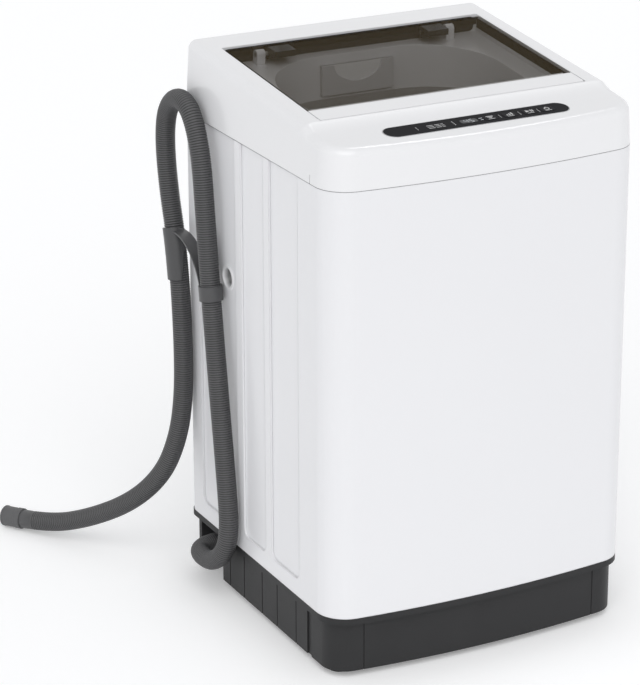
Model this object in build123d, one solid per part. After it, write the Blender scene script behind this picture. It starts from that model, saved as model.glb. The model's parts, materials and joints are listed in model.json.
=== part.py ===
"""Compact top load washing machine, piece by piece.

Millimetres, +Z up, front towards -Y, the machine's left side at -X.
The origin lies on the floor under the middle of the machine.
"""
import os
from math import atan2, cos, degrees, hypot, pi, radians, sin, tan

from build123d import *

os.makedirs("parts", exist_ok=True)

# Overall sizes
machine_width = 450.0
machine_depth = 440.0
front_bow = 15.6
front_corner_radius = 42.0
rear_corner_radius = 18.0
cabinet_bottom = 88.0
seam_height = 664.0

# Clearances
running_gap = 0.05
press_gap = 0.05
wrap_gap = 0.12
sliding_gap = 0.3
seat_gap = 0.2
hole_gap = 0.1
bracket_gap = 0.1
lid_gap = 1.2
hinge_ear_gap = 1.0
drawer_side_gap = 1.0
drawer_end_gap = 2.0
inlet_hole_gap = 1.6
rod_hole_gap = 1.0
lug_hole_gap = 1.5
cup_gap = 0.6
neck_gap = 0.4
spin_gap = 2.0
drain_hole_gap = 4.0
bolt_head_gap = 1.0
stud_headroom = 1.0

# Base and feet
base_bottom = 9.0
base_lip = 9.0
base_inset = 7.5
base_wall = 3.0
base_upstand = 10.0
base_floor_width = 62.0
base_groove_width = 2.0
base_groove_depth = 0.9
base_groove_places = (104.8, 60.9, 5.8, -39.1, -94.6)
base_notch_place = -133.0
base_notch_width = 12.0
base_notch_depth = 2.0
base_front_groove = 174.0
hose_bay_front = 128.0
hose_bay_rear = 196.0
hose_bay_depth = 39.0
foot_radius = 17.0
foot_stud_radius = 5.0
foot_stud_length = 34.0
rear_stud_length = 22.0
foot_boss_radius = 16.0
foot_boss_height = 24.0
front_foot = (190.0, -165.0)
rear_foot = (160.0, 165.0)

# Cabinet sheet and its pressed sides
sheet = 1.0
rear_step = 3.0
press_depth = 3.0
press_bottom = 112.0
press_corner = 12.0
press_bays = ((-119.0, -39.0), (-22.0, 43.0), (61.0, 172.0))
rear_opening_margin = 36.0
rear_opening_sill = 14.0
rear_opening_top = 646.0
transit_hole_radius = 15.5
transit_hole_place = (90.0, 466.0)
transit_plug_rim = 2.0
transit_plug_depth = 13.0
transit_plug_wall = 1.0

# Rear cover
rear_cover_sheet = 0.8
rear_cover_overlap = 10.0
rear_screw_heights = (140.0, 300.0, 460.0, 620.0)
rear_panel_rise = 1.6
rear_panel_margin = 22.0
rear_slot_count = 6
rear_slot_size = (90.0, 5.0)
rear_slot_pitch = 14.0
rear_slot_height = 210.0
screw_radius = 2.0
screw_head_radius = 4.0
screw_head_height = 1.8
screw_grip = 6.0
gland_radius = 7.0
gland_rim = 4.0
gland_rim_height = 1.2
gland_length = 8.0
gland_place = (150.0, 170.0)

# Top cover
cover_wall = 2.5
cover_lean = 6.8
cover_loft_height = 120.0
cover_edge_radius = 12.0
top_height = 743.0
top_slope = 0.092
bevel_top = -124.0
bevel_bottom = -141.0
console_front = -212.0
console_height = 716.0
console_slope = 0.12
cover_skirt_inset = 4.6
cover_skirt_depth = 12.0
cover_rim = 3.0
cover_rim_inset = 0.5
cover_slit_place = -152.5
cover_slit_width = 2.0
cover_slit_height = 11.0
cover_slit_depth = 1.5
well_depth = 24.0
well_corner = 3.0
mouth_half_width = 162.0
mouth_front = -113.0
mouth_rear = 147.0
mouth_corner = 105.0
mouth_draw = 4.0
mouth_bottom = 646.0

# Lid
lid_half_width = 192.0
lid_rear = 160.5
lid_front = -120.0
lid_corner = 4.0
window_front = -86.0
window_thickness = 2.5
skirt_thickness = 2.5
skirt_depth = 15.0
skirt_inset = 2.0
hinge_nose = 11.0
hinge_nose_sweep = 105.0
hinge_pin_radius = 3.0
hinge_block_inner = 100.0
hinge_block_outer = 131.0
hinge_ear_radius = 6.5
hinge_ear_inner = 137.0
hinge_ear_outer = 149.0
strip_thickness = 3.0
strip_lip_depth = 11.0
strip_tongue = 9.0
bumper_radius = 5.0
bumper_boss_radius = 6.0
bumper_place = (150.0, -104.0)
lid_sensor_place = (172.0, -104.0)
lid_sensor_size = (26.0, 12.0, 8.0)

# Control strip
strip_half_length = 133.0
strip_width = 32.0
strip_place = -174.0
strip_depth = 1.2
strip_step = 3.0
strip_body = 5.0
display_size = (30.0, 13.0)
display_place = -12.0
display_thickness = 1.2
key_size = (19.0, 13.0)
key_places = (19.0, 47.0, 76.0, 102.0)
key_travel = 0.8
key_rim = 1.4
key_proud = 0.4
key_corner = 2.5
key_rim_reach = 1.5
board_size = (236.0, 44.0, 1.6)
board_drop = 16.0
board_post_radius = 4.0
board_post_inset = 4.5
switch_radius = 2.6
display_lamp_inset = 2.0

# Detergent drawer
drawer_half_width = 54.0
drawer_bottom = 678.0
drawer_height = 41.0
drawer_tray_height = 32.0
drawer_length = 58.0
drawer_panel = 4.0
drawer_wall = 2.0
drawer_grip = (72.0, 25.0)
drawer_grip_depth = 2.5
drawer_drain = (6.0, 16.0)
drawer_collar = 9.0
drawer_collar_wall = 4.0
drawer_stand_off = 2.0

# Water inlet and level sensor
inlet_place = (-118.0, 702.0)
inlet_thread_radius = 13.2
inlet_thread_length = 20.5
inlet_bore_depth = 8.0
inlet_bore = 8.0
inlet_bay = (62.0, 46.0)
inlet_bay_depth = 20.0
valve_size = (46.0, 40.0, 38.0)
spout_radius = 8.0
spout_wall = 1.5
sensor_place = (150.0, 690.0)
sensor_radius = 22.0
sensor_thickness = 16.0
sensor_seat = 205.0
pressure_tube_radius = 3.5
pressure_tube_wall = 1.2
pressure_tube_bend = 30.0
pressure_tube_drops = (50.0, 200.0)

# Suspension
rod_place = (178.0, 155.0)
rod_radius = 4.0
rod_bottom = 226.0
rod_cap_radius = 15.0
rod_cap_height = 4.0
rod_head_radius = 9.0
hanger_height = 632.0
hanger_thickness = 3.0
hanger_reach = 40.0
lug_bottom = 296.0
lug_thickness = 10.0
lug_radius = 17.0
cup_radius = 14.5
cup_height = 6.0
spring_radius = 12.5
spring_wire = 2.5

# Tub and basket
tub_radius = 186.0
tub_wall = 3.5
tub_bottom = 212.0
tub_floor = 6.0
tub_top = 626.0
tub_ring_inner = 152.0
tub_ring_thickness = 5.0
tub_ring_skirt = 14.0
tub_ring_overhang = 4.0
basket_radius = 170.0
basket_sheet = 0.8
basket_bottom = 258.0
basket_top = 590.0
basket_hole_radius = 2.5
basket_hole_columns = 12
basket_hole_rows = 6
balance_inner = 148.0
balance_outer = 173.0
balance_height = 32.0
balance_round = 6.0
basket_floor = 10.0
basket_hub_opening = 27.0
flange_hub_radius = 24.0
flange_arm_length = 120.0
flange_arm_width = 34.0
flange_thickness = 7.0
flange_lift = 2.0
pulsator_radius = 128.0
pulsator_lift = 3.5
pulsator_plate = 8.0
pulsator_fin_height = 20.0
pulsator_fin_width = 22.0
pulsator_fin_count = 4
pulsator_hub_radius = 30.0
pulsator_hub_rise = 2.0
pulsator_fin_inset = 8.0
pulsator_screw_depth = 10.0
shaft_reach = 14.0
filter_half_width = 32.0
filter_bottom = 380.0
filter_height = 110.0
filter_thickness = 14.0
trap_size = (34.0, 20.0, 60.0)
trap_angle = 68.0
trap_bottom = 240.0
trap_tube_inset = 6.0

# Drive
shaft_radius = 8.0
spin_radius = 12.5
bearing_radius = 21.0
bearing_width = 12.0
gearbox_radius = 58.0
gearbox_flange_radius = 74.0
gearbox_flange = 8.0
gearbox_height = 86.0
neck_radius = 30.0
neck_rise = 28.0
seal_height = 8.0
seal_inset = 2.0
plate_thickness = 4.0
plate_half = (165.0, 138.0)
plate_corner = 40.0
pulley_radius = 70.0
pulley_rim = 4.0
pulley_height = 14.0
pulley_drop = 8.0
pulley_tread = 8.0
spin_tube_lift = 4.0
pulley_web = 5.0
motor_place = (105.0, 78.0)
motor_radius = 56.0
motor_height = 80.0
motor_shaft_radius = 6.0
motor_pulley_radius = 19.4
belt_thickness = 4.0
belt_width = 8.0
nut_radius = 11.0
nut_height = 8.0
bolt_radius = 3.0
bolt_head_radius = 5.5
bolt_head_height = 4.0
bolt_grip = 9.0
plate_bolts = ((140.0, -100.0), (-140.0, -100.0), (-145.0, 0.0), (20.0, 125.0))

# Drain
drain_place = (-100.0, 60.0)
drain_radius = 20.0
drain_valve_radius = 27.0
drain_valve_height = 58.0
drain_port_radius = 11.0
drain_port_reach = 46.0
drain_port_drop = 40.0
drain_port_wall = 3.0
drain_sump = 10.0
drain_spigot_wall = 4.0
tube_overlap = 8.0
bellows_radius = 13.5
outlet_height = 54.0
outlet_place = 158.0
outlet_radius = 9.6
outlet_bore = 7.0
outlet_flange = 17.0
outlet_leg = -160.0
outlet_rise = 64.0
outlet_spigot = 20.0
outlet_collar = 14.0
outlet_flange_thickness = 3.0

# Drain hose, its cuff and its hook
hose_radius = 13.5
hose_valley = 12.4
hose_bore = 10.0
hose_rib_count = 200
hose_bend_share = 0.45
cuff_radius = 15.0
cuff_overlap = 8.0
cuff_length = 32.0
cuff_bore = 11.0
hook_wall = 2.4
hook_band_height = 443.0
hook_band_width = 20.0
hook_tongue_top = 502.0
hook_tongue_bottom = 432.0
hook_top_share = 0.52
hook_plate_width = 18.0
hook_crown_radius = 14.5
hook_crown_rise = 4.0
hook_steps = 8

# The hose's route, chosen by hand from where it lies beside the machine
hose_start = (-186.3, 158.0, 54.0)
hose_route = [
    hose_start,
    (-220.0, 158.0, 54.0),
    (-243.0, 151.0, 52.0),
    (-249.0, 128.0, 52.0),
    (-247.0, 98.0, 55.0),
    (-243.0, 69.0, 79.0),
    (-240.0, 58.0, 116.0),
    (-240.0, 66.0, 185.0),
    (-240.0, 86.0, 310.0),
    (-240.0, 106.0, 445.0),
    (-240.0, 120.0, 555.0),
    (-240.0, 127.0, 614.0),
    (-240.0, 140.0, 652.0),
    (-240.0, 159.0, 680.0),
    (-240.0, 187.0, 690.0),
    (-240.0, 216.0, 680.0),
    (-240.0, 237.0, 655.0),
    (-240.0, 243.0, 612.0),
    (-240.0, 233.0, 550.0),
    (-240.0, 214.0, 490.0),
    (-240.0, 202.0, 420.0),
    (-240.0, 196.0, 330.0),
    (-240.0, 199.0, 262.0),
    (-245.0, 208.0, 200.0),
    (-259.0, 230.0, 138.0),
    (-288.0, 276.0, 83.0),
    (-330.0, 340.0, 41.0),
    (-368.0, 396.0, 19.0),
    (-396.0, 440.0, 16.4),
]

# Heights and places worked out from the sizes above
lip_bottom = cabinet_bottom - base_lip
half_width = machine_width / 2
half_depth = machine_depth / 2
press_face = half_width - press_depth
press_inner = press_face - sheet
rear_opening_bottom = cabinet_bottom + base_upstand + rear_opening_sill
rear_face = half_depth - rear_step
lid_slope = degrees(atan2(top_slope, 1))
console_angle = degrees(atan2(console_slope, 1))
hinge_line = lid_rear - hinge_nose
plate_bottom = tub_bottom - plate_thickness
gearbox_bottom = plate_bottom - gearbox_height
neck_top = tub_bottom + neck_rise
seal_top = neck_top + seal_height
pulley_top = gearbox_bottom - pulley_drop
pulley_bottom = pulley_top - pulley_height
basket_floor_bottom = basket_bottom + flange_thickness
basket_floor_top = basket_floor_bottom + basket_floor
pulsator_bottom = basket_floor_top + pulsator_lift
drawer_front = mouth_rear - drawer_stand_off - drawer_panel
drawer_seat = mouth_rear + drawer_collar
sides = (-1, 1)
corners = [(x, y) for x in sides for y in sides]


def prism(face, low, high):
    """A flat face stood up between two heights."""
    return Pos(0, 0, low) * extrude(face, high - low, dir=(0, 0, 1))


def block(x, y, z):
    """A box given by its two limits along each axis."""
    centre = Pos(sum(x) / 2, sum(y) / 2, sum(z) / 2)
    return centre * Box(x[1] - x[0], y[1] - y[0], z[1] - z[0])


def post(radius, low, high, x=0.0, y=0.0):
    """An upright cylinder between two heights."""
    return Pos(x, y, (low + high) / 2) * Cylinder(radius, high - low)


def sleeve(outer, inner, low, high, x=0.0, y=0.0):
    """An upright tube between two heights."""
    return post(outer, low, high, x, y) - post(inner, low - 1, high + 1, x, y)


def pin_along(direction, radius, start, length):
    """A cylinder that starts at a point and runs along a direction."""
    return extrude(Plane(start, z_dir=direction) * Circle(radius), length)


def plan(inset=0.0, rear_inset=0.0):
    """The machine's plan outline: flat back and sides, bowed front, rounded corners."""
    half = half_width - inset
    rear = half_depth - inset - rear_inset
    nose = -half_depth + inset
    corner = nose + front_bow
    face = make_face([
        Line((-half, corner), (-half, rear)),
        Line((-half, rear), (half, rear)),
        Line((half, rear), (half, corner)),
        ThreePointArc((half, corner), (0, nose), (-half, corner)),
    ])
    rear_radius = rear_corner_radius - min(inset, rear_corner_radius / 2)
    front_radius = front_corner_radius - min(inset, front_corner_radius / 2)
    face = fillet(face.vertices().sort_by(Axis.Y)[-2:], rear_radius)
    return fillet(face.vertices().sort_by(Axis.Y)[:2], front_radius)


def wall_ring(outer, inner, low, high, rear_inset=0.0):
    """A wall that follows the plan outline between two insets."""
    return prism(plan(outer, rear_inset), low, high) - prism(plan(inner, rear_inset), low - 1, high + 1)


def top_at(y):
    """Height of the sloping top above a point of the depth."""
    return top_height + top_slope * y


def console_at(y):
    """Height of the console above a point of the depth."""
    return console_height + console_slope * (y - console_front)


def slope_plane(y, drop=0.0):
    """A plane that lies along the sloping top, its local Z square to the top."""
    return Plane((0, y, top_at(y) - drop), x_dir=(1, 0, 0), z_dir=(0, -top_slope, 1))


def console_plane(y, drop=0.0):
    """A plane that lies along the console, its local Z square to the console."""
    return Plane((0, y, console_at(y) - drop), x_dir=(1, 0, 0), z_dir=(0, -console_slope, 1))


def on_all_corners(make):
    """One copy of a piece at each suspension rod."""
    return Compound(children=[make(x * rod_place[0], y * rod_place[1]) for x, y in corners])


def slope_solid(x, y, z, corner=0.0):
    """A box square to the sloping top, its limits measured along the slope."""
    width, length = x[1] - x[0], y[1] - y[0]
    outline = RectangleRounded(width, length, corner) if corner else Rectangle(width, length)
    face = Pos(sum(x) / 2, sum(y) / 2, z[0]) * outline
    return slope_plane(0) * extrude(face, z[1] - z[0])


def slope_pin(radius, x, y, z):
    """A cylinder along X between two limits, its centre given along the slope."""
    start = slope_plane(0).from_local_coords((x[0], y, z))
    return pin_along((1, 0, 0), radius, start, x[1] - x[0])


def foot_hole(x, y):
    """The hole that a foot's stud goes up into."""
    top = base_bottom + foot_stud_length + stud_headroom
    return post(foot_stud_radius + hole_gap, base_bottom - 1, top, x, y)


def make_base():
    """The dark base: lip under the cabinet, inset wall, floor rim, foot bosses and hose bay."""
    inner = base_inset + base_wall
    base = wall_ring(base_inset, inner, base_bottom, cabinet_bottom)
    base += wall_ring(0, inner, lip_bottom, cabinet_bottom)
    base += wall_ring(sheet + seat_gap, sheet + seat_gap + base_wall, cabinet_bottom - 1,
                      cabinet_bottom + base_upstand, rear_step)
    rim = prism(plan(base_inset), base_bottom, base_bottom + base_wall)
    clear_x = half_width - base_floor_width
    clear_y = half_depth - base_floor_width
    base += rim - block((-clear_x, clear_x), (-clear_y, clear_y), (0, cabinet_bottom))
    for side in sides:
        for foot in (front_foot, rear_foot):
            boss_top = base_bottom + foot_boss_height
            base += post(foot_boss_radius, base_bottom, boss_top, side * foot[0], foot[1])
    bay_inner = -half_width + hose_bay_depth
    bay_y = (hose_bay_front, hose_bay_rear)
    base += block((-half_width + base_inset, bay_inner + base_wall),
                  (bay_y[0] - base_wall, bay_y[1] + base_wall), (base_bottom, lip_bottom + base_wall))
    base -= block((-half_width - 1, bay_inner), bay_y, (base_bottom - 1, lip_bottom))
    outlet = (bay_inner - 1, outlet_place, outlet_height)
    base -= pin_along((1, 0, 0), outlet_radius + seat_gap, outlet, base_wall + 2)
    wall_face = half_width - base_inset
    cuts = [(y, base_groove_width, base_groove_depth) for y in base_groove_places]
    cuts.append((base_notch_place, base_notch_width, base_notch_depth))
    for side in sides:
        for foot in (front_foot, rear_foot):
            base -= foot_hole(side * foot[0], foot[1])
        for y, width, depth in cuts:
            face = sorted((side * (wall_face - depth), side * half_width * 1.1))
            base -= block(face, (y - width / 2, y + width / 2), (base_bottom - 1, lip_bottom))
        x = side * base_front_groove
        surface = -half_depth + base_inset + front_bow * (base_front_groove / wall_face) ** 2
        base -= block((x - base_groove_width / 2, x + base_groove_width / 2),
                      (-half_depth, surface + base_groove_depth), (base_bottom - 1, lip_bottom))
    return base


def make_foot(x, y, stud_length):
    """A round foot with the stud that goes up into the base."""
    pad = post(foot_radius, 0, base_bottom, x, y)
    pad = chamfer(pad.edges().group_by(Axis.Z)[0], base_bottom / 6)
    return pad + post(foot_stud_radius, base_bottom - 1, base_bottom + stud_length, x, y)


def make_rear_feet():
    """The two fixed feet at the back."""
    x, y = rear_foot
    return Compound(children=[make_foot(side * x, y, rear_stud_length) for side in sides])


def press_bay(limits, side, near, far, grow):
    """One pressed bay of a side, between two distances from the middle."""
    low = press_bottom - grow
    width = limits[1] - limits[0] + 2 * grow
    height = seam_height - low + (0 if grow else 1)
    face = Pos(sum(limits) / 2, low + height / 2) * Rectangle(width, height)
    face = fillet(face.vertices().group_by(Axis.Y)[0], press_corner + grow)
    start = Plane((side * near, 0, 0), x_dir=(0, 1, 0), z_dir=(1, 0, 0))
    return extrude(start * face, far - near, dir=(side, 0, 0))


def rear_screw_spots():
    """Where the rear cover's screws go, as X and Z."""
    x = half_width - rear_opening_margin + rear_cover_overlap / 2
    return [(side * x, z) for side in sides for z in rear_screw_heights]


def rear_holes(radius):
    """Holes through the rear flange and the rear cover for its screws."""
    return [pin_along((0, 1, 0), radius, (x, rear_face - 10, z), 20) for x, z in rear_screw_spots()]


def make_cabinet():
    """The wrapped steel cabinet with pressed bays in both sides and an open back."""
    cabinet = wall_ring(0, sheet, cabinet_bottom, seam_height, rear_step)
    for side in sides:
        for limits in press_bays:
            cabinet += press_bay(limits, side, press_inner, half_width - sheet / 2, sheet)
        for limits in press_bays:
            cabinet -= press_bay(limits, side, press_face, half_width + 1, 0)
    opening = half_width - rear_opening_margin
    through = (rear_face - 2 * sheet, rear_face + sheet)
    cabinet -= block((-opening, opening), through, (rear_opening_bottom, rear_opening_top))
    y, z = transit_hole_place
    deep = press_depth + 2 * sheet + 1
    cabinet -= pin_along((1, 0, 0), transit_hole_radius, (-half_width - 1, y, z), deep)
    return cabinet - rear_holes(screw_radius + hole_gap)


def make_rear_cover():
    """The sheet steel back with a raised panel, air slots and the hole for the mains gland."""
    outer = rear_face - sheet
    inner = outer - rear_cover_sheet
    half = half_width - rear_opening_margin
    reach = half + rear_cover_overlap
    panel = half - rear_panel_margin
    low = rear_opening_bottom + rear_panel_margin
    high = rear_opening_top - rear_panel_margin
    cover = block((-reach, reach), (inner, outer),
                  (rear_opening_bottom - rear_cover_overlap, rear_opening_top + rear_cover_overlap))
    cover += block((-panel, panel), (inner, outer + rear_panel_rise), (low, high))
    skin = rear_cover_sheet
    cover -= block((-panel + skin, panel - skin), (inner - 1, outer + rear_panel_rise - skin),
                   (low + skin, high - skin))
    for row in range(rear_slot_count):
        z = rear_slot_height + row * rear_slot_pitch
        for side in sides:
            x = side * panel / 2
            slot = RectangleRounded(rear_slot_size[0], rear_slot_size[1], rear_slot_size[1] * 0.49)
            cover -= Pos(x, outer, z) * extrude(Plane.XZ * slot, 10, both=True)
    x, z = gland_place
    cover -= pin_along((0, 1, 0), gland_radius + hole_gap, (x, inner - 5, z), 20)
    return cover - rear_holes(screw_radius + hole_gap)


def make_rear_screws():
    """The screws that hold the rear cover."""
    screws = []
    for x, z in rear_screw_spots():
        shank = pin_along((0, -1, 0), screw_radius, (x, rear_face + 0.5, z), screw_grip)
        screws.append(shank + pin_along((0, 1, 0), screw_head_radius, (x, rear_face, z), screw_head_height))
    return Compound(children=screws)


def make_gland():
    """The bush that a mains lead comes in through."""
    x, z = gland_place
    face = rear_face - sheet + rear_panel_rise
    gland = pin_along((0, 1, 0), gland_radius, (x, face - gland_length, z), gland_length + gland_rim_height)
    gland += pin_along((0, 1, 0), gland_radius + gland_rim, (x, face, z), gland_rim_height)
    bore = gland_length + gland_rim_height + 2
    return gland - pin_along((0, 1, 0), gland_radius / 2, (x, face - gland_length - 1, z), bore)


def make_transit_plug():
    """The dished plug in the hole of the left side."""
    y, z = transit_hole_place
    outer = -press_face - sheet
    plug = pin_along((1, 0, 0), transit_hole_radius - hole_gap, (outer, y, z), transit_plug_depth)
    plug += pin_along((1, 0, 0), transit_hole_radius + transit_plug_rim, (outer, y, z), sheet)
    mouth = Plane((outer - 1, y, z), z_dir=(1, 0, 0)) * Circle(transit_hole_radius - transit_plug_wall)
    return plug - extrude(mouth, transit_plug_depth + 1 - 2 * transit_plug_wall, taper=30)


def cover_body(inset, low):
    """The top cover's solid shape: leaning walls, sloping top, bevel, console and rounded rim."""
    lean = cover_lean / cover_loft_height
    high = seam_height + cover_loft_height
    foot = Pos(0, 0, low) * plan(inset + lean * (low - seam_height))
    head = Pos(0, 0, high) * plan(inset + cover_lean)
    walls = loft([foot, head], ruled=True)
    far = half_depth + 20
    line = [
        (far, top_at(far) - inset),
        (bevel_top, top_at(bevel_top) - inset),
        (bevel_bottom, console_at(bevel_bottom) - inset),
        (-far, console_at(-far) - inset),
        (-far, low - 20),
        (far, low - 20),
    ]
    body = walls & extrude(Plane.YZ * Polygon(*line, align=None), machine_width, both=True)
    seen = {}
    for face in body.faces():
        if face.normal_at().Z > 0.85:
            for edge in face.edges():
                key = tuple(round(value, 2) for value in edge.center())
                seen.setdefault(key, []).append(edge)
    rim = [edges[0] for edges in seen.values() if len(edges) == 1]
    return fillet(rim, cover_edge_radius - inset)


def mouth_solid(grow, low, high):
    """The loading mouth's funnel, from a low level up into the lid's well."""
    def outline(z):
        draw = mouth_draw * (top_height - z) / (top_height - mouth_bottom) - grow
        size = (2 * (mouth_half_width - draw), mouth_rear - mouth_front - 2 * draw)
        middle = Pos(0, (mouth_front + mouth_rear) / 2, z)
        return middle * RectangleRounded(size[0], size[1], mouth_corner - draw)
    return loft([outline(low), outline(high)], ruled=True)


def console_slot(inset, low, high):
    """The control strip's long rounded outline, between two levels square to the console."""
    outline = SlotOverall(2 * (strip_half_length - inset), strip_width - 2 * inset)
    return console_plane(strip_place) * extrude(Pos(0, 0, low) * outline, high - low)


def console_box(place, size, corner, low, high):
    """A rounded box on the control strip, between two levels square to the console."""
    outline = Pos(place, 0, low) * RectangleRounded(size[0], size[1], corner)
    return console_plane(strip_place) * extrude(outline, high - low)


def board_spots():
    """Where the control board's posts stand, measured along the console."""
    x = board_size[0] / 2 - board_post_inset
    y = board_size[1] / 2 - board_post_inset
    return [(side_x * x, side_y * y) for side_x, side_y in corners]


def console_post(radius, place, low, high):
    """A round post square to the console."""
    return console_plane(strip_place) * extrude(Pos(place[0], place[1], low) * Circle(radius), high - low)


def make_top_cover():
    """The white top: shell, lid well, loading mouth, hinge ears, drawer collar and inlet bay."""
    outer = cover_body(0, seam_height)
    inner = cover_body(cover_wall, seam_height - 5)
    cover = outer - inner
    well_x = lid_half_width + lid_gap
    well_y = (lid_front - lid_gap, lid_rear + lid_gap)
    wall = cover_wall
    cover += outer & slope_solid((-well_x - wall, well_x + wall), (well_y[0] - wall, well_y[1] + wall),
                                 (-well_depth - wall, 10), well_corner + wall)
    cover += mouth_solid(wall, mouth_bottom, top_height)
    collar = drawer_half_width + drawer_collar_wall
    cover += block((-collar, collar), (mouth_rear - 10, drawer_seat),
                   (drawer_bottom - drawer_collar_wall, drawer_bottom + drawer_height + drawer_collar_wall))
    x, z = inlet_place
    bay_x, bay_z = inlet_bay[0] / 2, inlet_bay[1] / 2
    bay_floor = half_depth - inlet_bay_depth
    cover += outer & block((x - bay_x - wall, x + bay_x + wall), (bay_floor - wall, half_depth),
                           (z - bay_z - wall, z + bay_z + wall))
    x, z = sensor_place
    cover += outer & block((x - sensor_radius, x + sensor_radius), (sensor_seat, half_depth),
                           (z - sensor_radius, z + sensor_radius))
    for spot in board_spots():
        cover += console_post(board_post_radius, spot, -board_drop, -1)
    rim = prism(plan(cover_rim_inset), seam_height, seam_height + cover_rim)
    inside = plan(cover_skirt_inset + wall, rear_step)
    cover += rim - prism(inside, seam_height - 1, seam_height + cover_rim + 1)
    cover += wall_ring(cover_skirt_inset, cover_skirt_inset + wall, seam_height - cover_skirt_depth,
                       seam_height + 1, rear_step)
    cover -= slope_solid((-well_x, well_x), well_y, (-well_depth, 60), well_corner)
    cover -= mouth_solid(0, mouth_bottom - 1, top_height)
    for side in sides:
        ear_x = sorted((side * hinge_ear_inner, side * hinge_ear_outer))
        ear = slope_solid(ear_x, (hinge_line - hinge_ear_radius, hinge_line + hinge_ear_radius),
                          (-well_depth - 1, -hinge_nose))
        ear += slope_pin(hinge_ear_radius, ear_x, hinge_line, -hinge_nose)
        cover += ear - slope_pin(hinge_pin_radius, (ear_x[0] - 1, ear_x[1] + 1), hinge_line, -hinge_nose)
        slit_x = sorted((side * half_width * 0.9, side * half_width * 1.1))
        slit_y = (cover_slit_place - cover_slit_width / 2, cover_slit_place + cover_slit_width / 2)
        slit = block(slit_x, slit_y, (seam_height - 1, seam_height + cover_slit_height))
        cover -= slit & (outer - cover_body(cover_slit_depth, seam_height - 5))
    slot = drawer_half_width + drawer_side_gap
    cover -= block((-slot, slot), (0, drawer_seat + 1),
                   (drawer_bottom - drawer_side_gap, drawer_bottom + drawer_height + drawer_side_gap))
    x, z = inlet_place
    cover -= block((x - bay_x, x + bay_x), (bay_floor, half_depth + 5), (z - bay_z, z + bay_z))
    cover -= pin_along((0, 1, 0), inlet_thread_radius + inlet_hole_gap, (x, bay_floor - 5, z), 10)
    cover -= console_slot(0, -strip_depth, 20)
    cover -= console_slot(strip_step, -cover_wall - 3, 1)
    return cover


def make_control_strip():
    """The dark strip of the console with openings for the display and the keys."""
    strip = console_slot(seat_gap, -strip_depth, 0)
    strip += console_slot(strip_step + seat_gap, -strip_body, -strip_depth / 2)
    for place in key_places:
        size = (key_size[0] + 2 * sliding_gap, key_size[1] + 2 * sliding_gap)
        strip -= console_box(place, size, key_corner + sliding_gap, -strip_body - 1, 1)
    return strip - console_box(display_place, display_size, key_corner, -display_thickness, 1)


def make_display():
    """The display's window, set into the control strip."""
    size = (display_size[0] - 2 * seat_gap, display_size[1] - 2 * seat_gap)
    return console_box(display_place, size, key_corner - seat_gap, -display_thickness, 0)


def make_key(place):
    """One key with the rim under the strip that keeps it in."""
    rim_top = -strip_body - sliding_gap
    rim = (key_size[0] + 2 * key_rim_reach, key_size[1] + 2 * key_rim_reach)
    key = console_box(place, key_size, key_corner, rim_top - key_rim, key_proud)
    return key + console_box(place, rim, key_corner, rim_top - key_rim, rim_top)


def make_board():
    """The control board with a switch under each key."""
    sheet_face = Pos(0, 0, -board_drop) * Rectangle(board_size[0], board_size[1])
    board = console_plane(strip_place) * extrude(sheet_face, -board_size[2])
    root = -board_drop - board_size[2] / 2
    switch_top = -strip_body - sliding_gap - key_rim - key_travel - seat_gap
    for place in key_places:
        board += console_post(switch_radius, (place, 0), root, switch_top)
    lamp = (display_size[0] - 2 * display_lamp_inset, display_size[1] - 2 * display_lamp_inset)
    lamp_top = -strip_body - sliding_gap
    return board + console_box(display_place, lamp, key_corner / 2, root, lamp_top)


def make_lid_window():
    """The tinted lid: a flat plate, side skirts and a rolled rear edge round the hinge line."""
    lid = slope_solid((-lid_half_width, lid_half_width), (window_front, hinge_line), (-window_thickness, 0))
    for side in sides:
        edge = side * (lid_half_width - skirt_inset)
        skirt = sorted((edge, edge - side * skirt_thickness))
        lid += slope_solid(skirt, (window_front, hinge_line), (-skirt_depth, -window_thickness / 2))
    ring = Circle(hinge_nose) - Circle(hinge_nose - window_thickness)
    far = 3 * hinge_nose
    lean = radians(90 - hinge_nose_sweep)
    wedge = Polygon((0, 0), (0, far), (far, far), (far * cos(lean), far * sin(lean)), align=None)
    middle = slope_plane(0).from_local_coords((0, hinge_line, -hinge_nose))
    up = Plane(middle, x_dir=(0, 1, top_slope), z_dir=(1, 0, 0))
    lid += extrude(up * (ring & wedge), lid_half_width, both=True)
    for side in sides:
        notch = sorted((side * (hinge_ear_inner - hinge_ear_gap), side * (hinge_ear_outer + hinge_ear_gap)))
        lid -= slope_solid(notch, (hinge_line - 1, lid_rear + 1), (-2 * hinge_nose, -window_thickness))
    return lid


def make_lid_strip():
    """The white front edge of the lid, hollow below, with a ledge the window lies on."""
    wall = skirt_thickness
    behind = window_front + 2 * lid_corner
    strip = slope_solid((-lid_half_width, lid_half_width), (lid_front, behind), (-strip_lip_depth, 0),
                        lid_corner)
    strip -= slope_solid((-half_width, half_width), (window_front, behind + 1), (-strip_lip_depth - 1, 1))
    strip -= slope_solid((-lid_half_width + wall, lid_half_width - wall),
                         (lid_front + wall, window_front - wall), (-strip_lip_depth - 1, -strip_thickness))
    reach = lid_half_width - skirt_inset - 2 * skirt_thickness
    strip += slope_solid((-reach, reach), (window_front - wall / 2, window_front + strip_tongue),
                         (-window_thickness - strip_thickness, -window_thickness))
    for side in sides:
        spot = Pos(side * bumper_place[0], bumper_place[1], -strip_lip_depth) * Circle(bumper_boss_radius)
        strip += slope_plane(0) * extrude(spot, strip_lip_depth - strip_thickness / 2)
    return strip


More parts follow.
